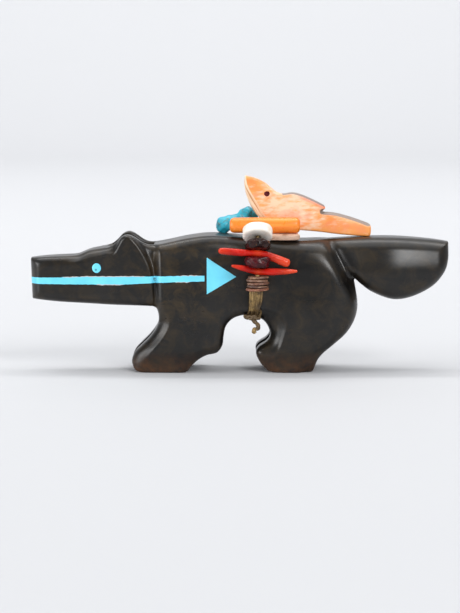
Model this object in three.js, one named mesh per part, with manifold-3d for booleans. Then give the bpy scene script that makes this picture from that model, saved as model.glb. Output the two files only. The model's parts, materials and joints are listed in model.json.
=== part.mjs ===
// A carved stone animal with turquoise inlay and an offering bundle lashed over its back.
// Millimetres, +Z up, the animal's head towards -X, its left side towards -Y.
// The origin is under the middle of the whole object, at the height of its soles.

import * as THREE from "three";
import { mergeVertices } from "three/addons/utils/BufferGeometryUtils.js";
import Module from "manifold-3d";

const wasm = await Module();
wasm.setup();

// ---------------------------------------------------------------- driving dimensions

// stone
const EDGE_ROUND = 2.0; // radius of the rounded edges, seen from the side
const EDGE_DEPTH = 2.3; // how far those edges fall back from the flat sides
const EDGE_STEPS = 3;
const FACET = 3.4; // longest facet edge on the stone's sides
const FINE_FACET = 1.3; // and where the tail leaves the rump
const LEG_GAP = 3.2; // groove between the left and right legs
const LEG_GAP_TOP = 8.0; // height of the groove's roof
const NECK_GROOVE = { top: 4.2, bottom: 3.1, stand_off: 2.7 }; // radii and distance of its axis
const EAR = { x: -21.5, y: 6.85, thickness: 3.4, flare: 0.13 }; // y is the outer face
const LEG_CHANNEL = { radius: 1.8, stand_off: 0.75 };

// inlay
const INLAY_DEPTH = 0.8;
const SEAT_DEPTH = 1.1;
const SEAT_GAP = 0.15; // round the edge of every inlay
const SHAFT_FRONT = -40.4;
const SHAFT_END = -6.95;
const SHAFT_RISE = [18.15, 18.45, 18.95]; // centre height at the muzzle, the neck and the end
const SHAFT_HEIGHT = 1.5;
const MOUTH_LENGTH = 0.95;
const ARROW = { back: -6.5, tip: -0.7, top: 23.1, bottom: 15.9, middle: 19.3 };
const EYE = { x: -28.6, z: 20.8, radius: 1.0 };

// bundle on the back
const TUBE_BEAD = { left: -1.95, right: 12.05, y: -3.75, z: 29.25, radius: 1.62 };
const BIRD = { thickness: 3.4, y: 0.45, eye_x: 5.55, eye_z: 35.2, eye_radius: 0.56 };
const BIRD_EDGE = 0.35;
const SLAB = { y_near: -5.9, y_far: 2.6, z: 26.3, thickness: 1.35, edge: 0.25 };
const NUGGET = { length: 8.4, radius: 1.95, x: -0.7, y: 4.6, z: 29.3, slope: 0.3 };

// bead string down the left side: centre and tilt (degrees) of each bead in the plane x = STRING_X
const STRING_X = 3.55;
const CORD_RADIUS = 0.38;
const BORE_RADIUS = 0.62;
const WHITE_BEAD = { y: -8.95, z: 28.15, tilt: 38, radius: 2.9, length: 2.4 };
const DARK_BEAD = { y: -10.25, z: 25.7, tilt: 20, radius: 2.5, length: 2.05 };
const UPPER_CORAL = { y: -10.7, z: 23.75, radius: 0.76 };
const GARNET_BEAD = { y: -10.75, z: 22.0, tilt: 0, radius: 2.6, length: 1.7 };
const LOWER_CORAL = { y: -10.75, z: 20.36, radius: 0.7 };
const HEISHI = { y: -10.75, top: 19.56, count: 5, pitch: 0.59, thickness: 0.47 };
const HEISHI_RADII = [2.35, 2.45, 2.5, 2.4, 2.6];

// lashing
const WRAP_WIDTH = 2.5;
const WRAP_THICKNESS = 0.8;
const KNOT = { x: 2.3, y: -5.7, z: 9.9, radius: 1.0 };
const TAG_RADIUS = 0.32;

// ---------------------------------------------------------------- small tools

const at = (x, z) => new THREE.Vector2(x, z);

function solidOf(geometry) {
  const bare = geometry.clone();
  bare.deleteAttribute("normal");
  bare.deleteAttribute("uv");
  const merged = mergeVertices(bare, 1e-4);
  return new wasm.Manifold(
    new wasm.Mesh({
      numProp: 3,
      vertProperties: new Float32Array(merged.attributes.position.array),
      triVerts: new Uint32Array(merged.index.array),
    }),
  );
}

// splits every edge that is longer than the limit at its middle, shared by the faces on both sides
function refined(geometry, limitAt) {
  const bare = geometry.clone();
  bare.deleteAttribute("normal");
  bare.deleteAttribute("uv");
  const merged = mergeVertices(bare, 1e-4);
  const points = [];
  for (let i = 0; i < merged.attributes.position.count; i++) {
    points.push(new THREE.Vector3().fromBufferAttribute(merged.attributes.position, i));
  }
  const midpoints = new Map();
  const midpoint = (a, b) => {
    const key = Math.min(a, b) + "_" + Math.max(a, b);
    if (!midpoints.has(key)) {
      midpoints.set(key, points.length);
      points.push(points[a].clone().add(points[b]).multiplyScalar(0.5));
    }
    return midpoints.get(key);
  };
  const waiting = [];
  const done = [];
  const index = merged.index.array;
  for (let i = 0; i < index.length; i += 3) waiting.push([index[i], index[i + 1], index[i + 2]]);
  while (waiting.length) {
    const face = waiting.pop();
    const excess = face.map((a, i) => {
      const b = face[(i + 1) % 3];
      const middle = points[a].clone().add(points[b]).multiplyScalar(0.5);
      return points[a].distanceTo(points[b]) / limitAt(middle);
    });
    const i = excess.indexOf(Math.max(...excess));
    if (excess[i] <= 1) {
      done.push(...face);
      continue;
    }
    const [a, b, c] = [face[i], face[(i + 1) % 3], face[(i + 2) % 3]];
    const m = midpoint(a, b);
    waiting.push([a, m, c], [m, b, c]);
  }
  const fine = new THREE.BufferGeometry().setFromPoints(points);
  fine.setIndex(done);
  return fine;
}

function geometryOf(solid) {
  const mesh = solid.getMesh();
  const geometry = new THREE.BufferGeometry();
  geometry.setAttribute("position", new THREE.BufferAttribute(mesh.vertProperties, 3));
  geometry.setIndex(new THREE.BufferAttribute(mesh.triVerts, 1));
  geometry.computeVertexNormals();
  return geometry;
}

// each stretch begins where the one before it ended, and two stretches meet at a corner
function followSmoothly(shape, ...stretches) {
  for (const stretch of stretches) shape.splineThru(stretch.slice(1));
}

// the same outline as straight edges, with no point given twice
function asPolygon(shape, curveSegments) {
  const points = shape.getPoints(curveSegments);
  const apart = (a, b) => a.distanceTo(b) > 0.01;
  return new THREE.Shape(points.filter((p, i) => apart(p, points[(i + 1) % points.length])));
}

function followStraight(shape, ...stretches) {
  for (const stretch of stretches) {
    for (const point of stretch.slice(1)) shape.lineTo(point.x, point.y);
  }
}

// turns a geometry drawn in the XY plane and extruded along Z into the side view plane XZ
function toSideView(geometry) {
  return geometry.rotateX(Math.PI / 2);
}

// a plate of the given side outline between two y values, with rounded rims
function plate(shape, yNear, yFar, edge, curveSegments = 6) {
  const geometry = new THREE.ExtrudeGeometry(shape, {
    depth: yFar - yNear - 2 * edge,
    bevelEnabled: edge > 0,
    bevelThickness: edge,
    bevelSize: edge,
    bevelOffset: -edge,
    bevelSegments: 2,
    curveSegments,
  });
  return toSideView(geometry).translate(0, yFar - edge, 0);
}

// a swept tube with an elliptic section; the first radius lies along X on a path in a YZ plane
function tubeAlong(points, steps, radiusA, radiusB = radiusA, sides = 10) {
  const path = new THREE.CatmullRomCurve3(points, false, "centripetal");
  const section = new THREE.Shape();
  section.absellipse(0, 0, radiusA, radiusB, 0, Math.PI * 2);
  return new THREE.ExtrudeGeometry(section, {
    extrudePath: path,
    steps,
    curveSegments: sides / 2,
  });
}

// a tapered rod from one point to another
function rodBetween(from, to, radiusFrom, radiusTo, sides = 24) {
  const axis = to.clone().sub(from);
  const geometry = new THREE.CylinderGeometry(radiusTo, radiusFrom, axis.length(), sides);
  const turn = new THREE.Quaternion().setFromUnitVectors(
    new THREE.Vector3(0, 1, 0),
    axis.clone().normalize(),
  );
  const middle = from.clone().add(to).multiplyScalar(0.5);
  return geometry.applyQuaternion(turn).translate(middle.x, middle.y, middle.z);
}

// ---------------------------------------------------------------- the stone

// The side outline runs a little below the ground, because the soles are ground flat afterwards.
const MUZZLE_TOP = at(-41.6, 22.2);
const MUZZLE_BOTTOM = at(-41.4, 14.4);
const THROAT = at(-16.9, 13.1);
const TAIL_CORNER = at(41.8, 25.4);
const TAIL_ROOT = at(22.8, 18.0);
const FORE_TOE = at(-21.3, 1.6);
const FORE_HEEL = at(-11.6, -0.6);
const ELBOW_BACK = at(-7.4, 2.9);
const ELBOW = at(-3.3, 4.2);
const HIND_TOE = at(3.6, 2.4);
const HIND_HEEL = at(13.2, -0.9);

const backLine = [
  MUZZLE_TOP,
  at(-33.2, 22.9),
  at(-29.6, 23.8),
  at(-25.2, 24.6),
  at(-18.5, 24.8),
  at(-13.5, 25.5),
  at(-9.9, 26.1),
  at(-5.2, 26.6),
  at(2.5, 26.1),
  at(10.0, 25.7),
  at(18.0, 26.0),
  at(26.0, 26.3),
  at(32.0, 26.25),
  at(38.2, 25.8),
];
const tailEndLine = [at(38.2, 25.8), TAIL_CORNER, at(41.6, 22.4)];
const tailLine = [
  at(41.6, 22.4),
  at(40.8, 19.6),
  at(38.4, 16.7),
  at(34.2, 14.6),
  at(30.4, 14.1),
  at(26.4, 15.4),
  TAIL_ROOT,
];
const haunchLine = [TAIL_ROOT, at(23.4, 13.6), at(22.6, 9.3), at(19.4, 5.4), at(16.4, 3.0)];
const heelLine = [at(16.4, 3.0), HIND_HEEL];
const hindSole = [HIND_HEEL, at(6.2, -1.0), HIND_TOE];
const hindFrontLine = [HIND_TOE, at(3.9, 5.2)];
const bellyLine = [
  at(3.9, 5.2),
  at(5.9, 7.7),
  at(4.6, 10.1),
  at(1.2, 11.2),
  at(-1.8, 10.6),
  at(-3.2, 8.2),
];
const foreBackLine = [at(-3.2, 8.2), ELBOW, ELBOW_BACK, FORE_HEEL];
const foreSole = [FORE_HEEL, at(-18.9, -1.3), FORE_TOE];
const toeLine = [FORE_TOE, at(-20.7, 3.9)];
const chestLine = [at(-20.7, 3.9), at(-17.3, 7.2), at(-16.1, 10.2), THROAT];
const jawLine = [THROAT, at(-27.0, 13.5), at(-36.0, 13.9)];
const chinLine = [at(-36.0, 13.9), MUZZLE_BOTTOM];

const stoneCurves = new THREE.Shape();
stoneCurves.moveTo(MUZZLE_TOP.x, MUZZLE_TOP.y);
followSmoothly(stoneCurves, backLine);
followStraight(stoneCurves, tailEndLine);
followSmoothly(stoneCurves, tailLine, haunchLine);
followStraight(stoneCurves, heelLine, hindSole, hindFrontLine);
followSmoothly(stoneCurves, bellyLine);
followStraight(stoneCurves, foreBackLine, foreSole, toeLine);
followSmoothly(stoneCurves, chestLine, jawLine);
followStraight(stoneCurves, chinLine);
stoneCurves.closePath();
const stoneOutline = asPolygon(stoneCurves, 3);

// half width of the stone at equal steps along its length, from muzzle to tail
const WIDTH_START = -42;
const WIDTH_STEP = 6;
const BODY_WIDTHS = [3.2, 4.2, 5.0, 6.5, 7.3, 7.5, 7.6, 7.4, 7.3, 7.8, 8.1, 7.9, 7.6, 7.4, 7.0];
const TAIL_WIDTHS = [6.3, 6.3, 6.3, 6.3, 6.3, 6.3, 6.3, 6.3, 6.3, 6.3, 6.0, 5.9, 6.4, 6.4, 5.2];
const widthCurve = (widths) =>
  new THREE.SplineCurve(widths.map((w, i) => at(WIDTH_START + i * WIDTH_STEP, w)));
const bodyCurve = widthCurve(BODY_WIDTHS);
const tailCurve = widthCurve(TAIL_WIDTHS);
const along = (curve, x) =>
  curve.getPoint((x - WIDTH_START) / (WIDTH_STEP * (BODY_WIDTHS.length - 1))).y;

const bump = (x, z, cx, cz, spread) =>
  Math.exp(-((x - cx) ** 2 + (z - cz) ** 2) / (2 * spread ** 2));

// distance behind the slanting line where the tail leaves the rump
const pastCrease = (x, z) => (x - TAIL_ROOT.x) * 0.897 + (z - TAIL_ROOT.y) * 0.443;

function halfWidth(x, z) {
  const smooth = THREE.MathUtils.smoothstep;
  let width = THREE.MathUtils.lerp(
    along(bodyCurve, x) + 0.7 * bump(x, z, 15, 12, 4.5) + 0.4 * bump(x, z, -10, 13, 4.5),
    along(tailCurve, x),
    smooth(pastCrease(x, z), -1.0, 1.2),
  );
  width -= 0.8 * smooth(z, 20, 26.5) * smooth(x, -20, -14);
  width -= 0.5 * (1 - smooth(z, 0, 6));
  width -= 1.0 * (1 - smooth(x, -41.7, -39.4)) ** 2;
  return width;
}

// the whole carved block, with its sides moved in by the given amount
function carvedBlock(inset) {
  const half = 0.5;
  const rim = 0.15;
  const raw = new THREE.ExtrudeGeometry(stoneOutline, {
    depth: 2 * (half - rim),
    bevelEnabled: true,
    bevelThickness: rim,
    bevelSize: EDGE_ROUND,
    bevelOffset: -EDGE_ROUND,
    bevelSegments: EDGE_STEPS,
    curveSegments: 3,
  });
  const nearCrease = (p) => Math.abs(pastCrease(p.x, p.y)) < 2.4 && p.y > 16;
  const limitAt = (p) => (nearCrease(p) ? FINE_FACET : FACET);
  const fine = toSideView(refined(raw.translate(0, 0, rim - half), limitAt));
  const position = fine.attributes.position;
  for (let i = 0; i < position.count; i++) {
    const x = position.getX(i);
    const z = position.getZ(i);
    const y = position.getY(i);
    const width = halfWidth(x, z) - inset;
    const depth = Math.min(EDGE_DEPTH, width * 0.45);
    const out = Math.abs(y);
    const flat = half - rim;
    const placed =
      out <= flat ? ((width - depth) * out) / flat : width - (depth * (half - out)) / rim;
    position.setY(i, Math.sign(y) * placed);
  }
  const below = new THREE.BoxGeometry(120, 40, 20).translate(0, 0, -10);
  let block = solidOf(fine).subtract(solidOf(below));
  for (const side of [-1, 1]) {
    block = block.subtract(neckGroove(side, inset));
    block = block.subtract(legChannel(side, inset));
  }
  return block;
}

function neckGroove(side, inset) {
  const y = side * (7.3 + NECK_GROOVE.stand_off - inset);
  return solidOf(
    rodBetween(
      new THREE.Vector3(-18.0, y, 28.5),
      new THREE.Vector3(-14.4, y, 10.5),
      NECK_GROOVE.top,
      NECK_GROOVE.bottom,
      28,
    ),
  );
}

function legChannel(side, inset) {
  const y = side * (7.5 + LEG_CHANNEL.stand_off - inset);
  const route = [
    [-15.6, 14.2],
    [-14.6, 11.0],
    [-15.7, 7.4],
    [-18.6, 3.6],
    [-20.4, 0.2],
    [-20.8, -1.2],
  ].map(([x, z]) => new THREE.Vector3(x, y, z));
  return solidOf(tubeAlong(route, 14, LEG_CHANNEL.radius, LEG_CHANNEL.radius, 8));
}

// an ear is the top of the flat cheek, so it follows the flare of the head
function ear(side) {
  const shape = new THREE.Shape();
  shape.moveTo(-25.4, 20.5);
  shape.lineTo(-25.4, 23.6);
  shape.splineThru([at(-24.0, 25.0), at(-22.4, 26.9), at(-20.4, 25.6), at(-18.2, 23.2)]);
  shape.lineTo(-18.2, 20.5);
  shape.closePath();
  const { x, y, thickness, flare } = EAR;
  const geometry = plate(asPolygon(shape, 3), -thickness / 2, thickness / 2, 0.7);
  geometry.translate(-x, 0, 0).rotateZ(side * flare).translate(x, side * (y - thickness / 2), 0);
  return solidOf(geometry);
}

function groundGroove() {
  const shape = new THREE.Shape();
  shape.moveTo(-LEG_GAP / 2, -2);
  shape.lineTo(LEG_GAP / 2, -2);
  shape.lineTo(LEG_GAP / 2, LEG_GAP_TOP - LEG_GAP / 2);
  shape.absarc(0, LEG_GAP_TOP - LEG_GAP / 2, LEG_GAP / 2, 0, Math.PI);
  shape.closePath();
  const geometry = new THREE.ExtrudeGeometry(shape, {
    depth: 60,
    bevelEnabled: false,
    curveSegments: 8,
  });
  return solidOf(geometry.rotateX(Math.PI / 2).rotateZ(Math.PI / 2).translate(-28, 0, 0));
}

function browFacet(side) {
  const cut = new THREE.BoxGeometry(24, 8, 20);
  cut.translate(0, 4, 10).rotateX(-0.52).rotateY(-0.13);
  if (side < 0) cut.scale(1, -1, 1);
  const geometry = side < 0 ? flipped(cut) : cut;
  return solidOf(geometry.translate(-36.5, side * 4.75, 20.6));
}

// turns every face round, for a geometry that was mirrored
function flipped(geometry) {
  const turned = geometry.toNonIndexed();
  const position = turned.attributes.position;
  const a = new THREE.Vector3();
  const b = new THREE.Vector3();
  for (let i = 0; i < position.count; i += 3) {
    a.fromBufferAttribute(position, i + 1);
    b.fromBufferAttribute(position, i + 2);
    position.setXYZ(i + 1, b.x, b.y, b.z);
    position.setXYZ(i + 2, a.x, a.y, a.z);
  }
  return turned;
}

// ---------------------------------------------------------------- inlay

// outlines in side view, grown by a margin for the seats
function shaftOutline(margin) {
  const h = SHAFT_HEIGHT / 2 + margin;
  const [front, neck, end] = SHAFT_RISE;
  const left = SHAFT_FRONT - margin;
  const right = SHAFT_END + margin;
  const shape = new THREE.Shape();
  shape.moveTo(left, front - h);
  shape.quadraticCurveTo(-17, neck - h, right, end - h);
  shape.lineTo(right, end + h);
  shape.quadraticCurveTo(-17, neck + h, left, front + h);
  shape.closePath();
  return shape;
}

function arrowOutline(margin) {
  const shape = new THREE.Shape();
  shape.moveTo(ARROW.back - margin, ARROW.bottom - 1.7 * margin);
  shape.lineTo(ARROW.tip + 2 * margin, ARROW.middle);
  shape.lineTo(ARROW.back - margin, ARROW.top + 1.7 * margin);
  shape.closePath();
  return shape;
}

function eyeOutline(margin) {
  const shape = new THREE.Shape();
  shape.absarc(EYE.x, EYE.z, EYE.radius + margin, 0, Math.PI * 2);
  return shape;
}

function sidePrism(shape, side) {
  const geometry = plate(shape, side < 0 ? -12 : 1, side < 0 ? -1 : 12, 0, 8);
  return solidOf(geometry);
}

function mouthBox(margin) {
  const length = MOUTH_LENGTH + margin + 2;
  const box = new THREE.BoxGeometry(length, 20, SHAFT_HEIGHT + 2 * margin);
  box.translate(-41.7 + MOUTH_LENGTH + margin - length / 2, 0, SHAFT_RISE[0]);
  return solidOf(box);
}

const block = carvedBlock(0);
const inlayCore = carvedBlock(INLAY_DEPTH);
const seatCore = carvedBlock(SEAT_DEPTH);

const outer = block
  .add(ear(-1))
  .add(ear(1))
  .subtract(browFacet(-1))
  .subtract(browFacet(1));

const inlayKinds = { heartline_shaft: shaftOutline, arrowhead: arrowOutline, eye: eyeOutline };

function carvedStone() {
  let stone = outer.subtract(groundGroove()).subtract(mouthBox(SEAT_GAP));
  for (const outline of Object.values(inlayKinds)) {
    for (const side of [-1, 1]) {
      stone = stone.subtract(sidePrism(outline(SEAT_GAP), side).subtract(seatCore));
    }
  }
  return stone;
}

function inlayPiece(outline, side) {
  return outer.intersect(sidePrism(outline(0), side)).subtract(inlayCore);
}

// ---------------------------------------------------------------- bundle on the back

function birdGeometry() {
  const beak = at(1.2, 38.7);
  const wing = at(16.9, 33.1);
  const notch = at(16.7, 31.4);
  const tailEnd = at(26.3, 29.2);
  const tailFoot = at(26.2, 26.75);
  const breast = at(5.4, 28.5);
  const back = [beak, at(3.3, 38.2), at(5.6, 37.2), at(6.8, 35.9), at(8.4, 35.4), at(10.8, 35.6),
    at(14.0, 34.4), wing];
  const shape = new THREE.Shape();
  shape.moveTo(beak.x, beak.y);
  followSmoothly(shape, back);
  followStraight(shape, [wing, at(17.4, 32.2), notch]);
  followSmoothly(shape, [notch, at(19.3, 31.7), at(23.3, 30.7), tailEnd]);
  followStraight(shape, [tailEnd, tailFoot]);
  followSmoothly(shape, [tailFoot, at(21.3, 27.0), at(15.1, 27.9), at(9.0, 28.3), breast]);
  followSmoothly(shape, [breast, at(3.3, 30.7), at(1.9, 33.4), at(1.0, 36.2)]);
  shape.closePath();
  const yNear = BIRD.y - BIRD.thickness / 2;
  return plate(asPolygon(shape, 3), yNear, yNear + BIRD.thickness, BIRD_EDGE);
}

// the eye sockets go in from both faces, and each eye sits in its own
function birdEyeRod(side, depth, radius) {
  const face = BIRD.y + (side * BIRD.thickness) / 2;
  const inner = new THREE.Vector3(BIRD.eye_x, face - side * depth, BIRD.eye_z);
  const outerEnd = new THREE.Vector3(BIRD.eye_x, face + side * 0.18, BIRD.eye_z);
  return rodBetween(inner, outerEnd, radius, radius * 0.8, 14);
}

function shellBird() {
  let bird = solidOf(birdGeometry());
  for (const side of [-1, 1]) {
    bird = bird.subtract(solidOf(birdEyeRod(side, 0.95, BIRD.eye_radius + 0.14)));
  }
  return geometryOf(bird);
}

function tubeBead() {
  const { left, right, radius } = TUBE_BEAD;
  const length = right - left;
  const bore = 0.55;
  const round = 0.9;
  const thin = radius * 0.93;
  const profile = [
    [bore, 0], [thin - round, 0], [thin - 0.26, 0.26], [thin, round],
    [radius, length - round], [radius - 0.26, length - 0.26], [radius - round, length],
    [bore, length], [bore, 0],
  ].map(([r, l]) => at(r, l));
  const geometry = new THREE.LatheGeometry(profile, 20);
  return geometry.rotateZ(-Math.PI / 2).translate(left, TUBE_BEAD.y, TUBE_BEAD.z);
}

function turquoiseNugget() {
  const geometry = new THREE.SphereGeometry(1, 18, 12);
  const position = geometry.attributes.position;
  const point = new THREE.Vector3();
  for (let i = 0; i < position.count; i++) {
    point.fromBufferAttribute(position, i);
    const lump = 1 + 0.07 * Math.sin(3.1 * point.x + 1.3) * Math.cos(2.3 * point.z - 0.6);
    const squared = 1 / Math.pow(Math.abs(point.x) ** 3.2 + Math.hypot(point.y, point.z) ** 3.2, 1 / 3.2);
    point.multiplyScalar(squared * lump);
    point.y = Math.max(point.y, -0.86);
    position.setXYZ(
      i,
      (point.x * NUGGET.length) / 2,
      point.y * NUGGET.radius,
      point.z * NUGGET.radius,
    );
  }
  return geometry.rotateY(-NUGGET.slope).translate(NUGGET.x, NUGGET.y, NUGGET.z);
}

function shellSlab() {
  const shape = new THREE.Shape();
  shape.moveTo(5.3, SLAB.y_near + 0.5);
  shape.lineTo(9.4, SLAB.y_near);
  shape.lineTo(11.9, SLAB.y_near + 0.9);
  shape.lineTo(11.3, SLAB.y_far - 1.0);
  shape.lineTo(8.0, SLAB.y_far);
  shape.lineTo(5.4, SLAB.y_far - 1.4);
  shape.closePath();
  const geometry = new THREE.ExtrudeGeometry(shape, {
    depth: SLAB.thickness - 2 * SLAB.edge,
    bevelThickness: SLAB.edge,
    bevelSize: SLAB.edge,
    bevelOffset: -SLAB.edge,
    bevelSegments: 2,
  });
  return geometry.translate(0, 0, SLAB.z + SLAB.edge);
}

// ---------------------------------------------------------------- beads on the string

// a bored bead from half of its wall profile, on its own axis
function boredBead(profile, sides) {
  return new THREE.LatheGeometry(
    profile.map(([r, z]) => at(r, z)),
    sides,
  ).rotateX(Math.PI / 2);
}

function discProfile(radius, length) {
  const h = length / 2;
  return [[BORE_RADIUS, -h], [radius, -h], [radius, h], [BORE_RADIUS, h], [BORE_RADIUS, -h]];
}

function barrelProfile(radius, length, round) {
  const h = length / 2;
  return [
    [BORE_RADIUS, -h], [radius - round, -h], [radius - 0.3 * round, -h + 0.3 * round],
    [radius, -h + round], [radius, h - round], [radius - 0.3 * round, h - 0.3 * round],
    [radius - round, h], [BORE_RADIUS, h], [BORE_RADIUS, -h],
  ];
}

function facetedProfile(radius, length) {
  const h = length / 2;
  return [
    [BORE_RADIUS, -h], [radius * 0.6, -h], [radius * 0.88, -h * 0.5], [radius, 0],
    [radius * 0.88, h * 0.5], [radius * 0.6, h], [BORE_RADIUS, h], [BORE_RADIUS, -h],
  ];
}

// a bead's mesh is turned and placed so that its own Z axis is its bore
function placeBead(mesh, bead) {
  mesh.position.set(STRING_X, bead.y, bead.z);
  mesh.rotation.x = -THREE.MathUtils.degToRad(bead.tilt ?? 0);
  return mesh;
}

function coralBranch(route, coral, ends) {
  const points = route.map(([x, y, z]) => new THREE.Vector3(x, y, z));
  const body = solidOf(tubeAlong(points, 14, coral.radius, coral.radius, 10));
  const tips = [points[0], points.at(-1)].map((tip, i) => {
    const ball = new THREE.SphereGeometry(coral.radius, 10, 6);
    return solidOf(ball.scale(ends[i], 1, 1).translate(tip.x, tip.y, tip.z));
  });
  const bore = rodBetween(
    new THREE.Vector3(0, 0, -2),
    new THREE.Vector3(0, 0, 2),
    0.54,
    0.54,
    12,
  );
  return geometryOf(body.add(tips[0]).add(tips[1]).subtract(solidOf(bore)));
}

// ---------------------------------------------------------------- lashing

// where the cord goes into a bead and comes out of it, just past its two faces
function boreEnds(bead) {
  const tilt = THREE.MathUtils.degToRad(bead.tilt);
  const reach = bead.length / 2 + 0.12;
  return [1, -1].map((end) => [
    bead.y + end * reach * Math.sin(tilt),
    bead.z + end * reach * Math.cos(tilt),
  ]);
}

function sinewLashing() {
  const place = ([y, z]) => new THREE.Vector3(STRING_X, y, z);
  const string = [
    [-2.6, 26.75], [-4.3, 26.75], [-5.25, 27.3], [-6.15, 28.45], [-6.9, 29.4], [-7.45, 29.6],
    ...boreEnds(WHITE_BEAD), ...boreEnds(DARK_BEAD), [UPPER_CORAL.y, UPPER_CORAL.z],
    ...boreEnds(GARNET_BEAD), [HEISHI.y, 20.4], [HEISHI.y, 18.2], [HEISHI.y, 16.5],
    [-9.9, 15.6], [-8.7, 14.6],
  ];
  const wrap = [
    [3.55, -9.9, 16.2], [3.5, -8.9, 14.7], [3.3, -8.1, 13.0], [3.0, -7.65, 11.7],
    [2.7, -6.8, 10.6], [2.4, -5.2, 10.0], [2.3, 0, 9.98], [2.4, 5.2, 10.0], [2.6, 6.8, 10.6],
    [2.8, 7.75, 11.9], [3.0, 7.95, 14.0], [3.2, 7.95, 19.5], [3.4, 7.6, 23.0], [3.5, 7.2, 24.6],
    [3.55, 6.2, 26.0], [3.55, 4.6, 26.65], [3.55, 0, 26.65], [3.55, -3.4, 26.65],
  ];
  const tag = [
    [2.8, -6.0, 10.1], [3.45, -6.9, 9.8], [4.0, -7.1, 9.1], [3.6, -6.9, 8.4], [3.45, -6.8, 7.7],
  ];
  const knot = new THREE.SphereGeometry(KNOT.radius, 14, 10).scale(1.6, 1, 0.6);
  const asPoints = (route) => route.map(([x, y, z]) => new THREE.Vector3(x, y, z));
  const pieces = [
    tubeAlong(string.map(place), 36, CORD_RADIUS, CORD_RADIUS, 8),
    tubeAlong(asPoints(wrap), 34, WRAP_WIDTH / 2, WRAP_THICKNESS / 2, 10),
    tubeAlong(asPoints(tag), 8, TAG_RADIUS, TAG_RADIUS, 8),
    knot.translate(KNOT.x, KNOT.y, KNOT.z),
  ];
  return geometryOf(pieces.map(solidOf).reduce((whole, piece) => whole.add(piece)));
}

// ---------------------------------------------------------------- the assembly

const looks = {
  stone: { color: 0x1a1715, roughness: 0.25, metalness: 0 },
  turquoise: { color: 0x4fc4dc, roughness: 0.3, metalness: 0 },
  matrixTurquoise: { color: 0x2a9db0, roughness: 0.35, metalness: 0 },
  shellOrange: { color: 0xe8824a, roughness: 0.3, metalness: 0 },
  tubeOrange: { color: 0xf07a1c, roughness: 0.3, metalness: 0 },
  pinkShell: { color: 0xcfb5a3, roughness: 0.4, metalness: 0 },
  whiteShell: { color: 0xf2ece2, roughness: 0.35, metalness: 0 },
  darkGarnet: { color: 0x2a1010, roughness: 0.2, metalness: 0 },
  coral: { color: 0xd02a18, roughness: 0.3, metalness: 0 },
  brownShell: { color: 0x5b3526, roughness: 0.5, metalness: 0 },
  sinew: { color: 0xa8905f, roughness: 0.7, metalness: 0 },
};

const figure = new THREE.Group();
const bundle = new THREE.Group();
const beadString = new THREE.Group();
figure.add(bundle, beadString);

function addPiece(group, name, geometry, look) {
  const mesh = new THREE.Mesh(geometry, new THREE.MeshStandardMaterial(looks[look]));
  mesh.name = name;
  group.add(mesh);
  return mesh;
}

addPiece(figure, "stone_body", geometryOf(carvedStone()), "stone");
for (const [kind, outline] of Object.entries(inlayKinds)) {
  addPiece(figure, "left_" + kind, geometryOf(inlayPiece(outline, -1)), "turquoise");
  addPiece(figure, "right_" + kind, geometryOf(inlayPiece(outline, 1)), "turquoise");
}
addPiece(figure, "mouth_inlay", geometryOf(outer.intersect(mouthBox(0))), "turquoise");

addPiece(bundle, "shell_bird", shellBird(), "shellOrange");
addPiece(bundle, "bird_left_eye", birdEyeRod(-1, 0.8, BIRD.eye_radius), "darkGarnet");
addPiece(bundle, "bird_right_eye", birdEyeRod(1, 0.8, BIRD.eye_radius), "darkGarnet");
addPiece(bundle, "tube_bead", tubeBead(), "tubeOrange");
addPiece(bundle, "turquoise_nugget", turquoiseNugget(), "matrixTurquoise");
addPiece(bundle, "shell_slab", shellSlab(), "pinkShell");

const whiteProfile = barrelProfile(WHITE_BEAD.radius, WHITE_BEAD.length, 0.7);
const darkProfile = facetedProfile(DARK_BEAD.radius, DARK_BEAD.length);
const garnetProfile = facetedProfile(GARNET_BEAD.radius, GARNET_BEAD.length);
placeBead(addPiece(beadString, "white_bead", boredBead(whiteProfile, 22), "whiteShell"), WHITE_BEAD);
placeBead(addPiece(beadString, "dark_bead", boredBead(darkProfile, 14), "darkGarnet"), DARK_BEAD);
placeBead(addPiece(beadString, "garnet_bead", boredBead(garnetProfile, 14), "darkGarnet"), GARNET_BEAD);

const upperRoute = [[-7.0, -0.1, 0.72], [-3.5, -0.1, 0.42], [0, 0, 0], [2.8, -0.25, -0.45], [6.2, -0.1, -1.85]];
const lowerRoute = [[-4.7, -0.1, 1.1], [-2.4, -0.05, 0.28], [0, 0, 0], [3.4, -0.1, -0.12], [7.1, -0.1, 0.05]];
placeBead(
  addPiece(beadString, "coral_branch_upper", coralBranch(upperRoute, UPPER_CORAL, [1, 1]), "coral"),
  UPPER_CORAL,
);
placeBead(
  addPiece(beadString, "coral_branch_lower", coralBranch(lowerRoute, LOWER_CORAL, [1.5, 1.5]), "coral"),
  LOWER_CORAL,
);
for (let i = 0; i < HEISHI.count; i++) {
  const z = HEISHI.top - HEISHI.thickness / 2 - i * HEISHI.pitch;
  const disc = boredBead(discProfile(HEISHI_RADII[i], HEISHI.thickness), 18);
  placeBead(addPiece(beadString, "heishi_" + (i + 1), disc, "brownShell"), { y: HEISHI.y, z });
}
addPiece(beadString, "sinew_lashing", sinewLashing(), "sinew");

// the origin goes under the middle of the whole object
figure.updateMatrixWorld(true);
const bounds = new THREE.Box3().setFromObject(figure, true);
const middle = bounds.getCenter(new THREE.Vector3());
figure.position.set(-middle.x, -middle.y, -bounds.min.z);

const root = new THREE.Group();
root.add(figure);

export default root;
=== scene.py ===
"""The looks of the carved stone animal and its offering bundle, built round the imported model.

Shapes are drawn in design millimetres, the same as the part's source: +Z up, head towards -X,
left side towards -Y, y = 0 in the middle of the stone. piece() turns them into the frame's
metres. Points in materials are in the frame's millimetres.
"""

import json
import math
import random

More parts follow.
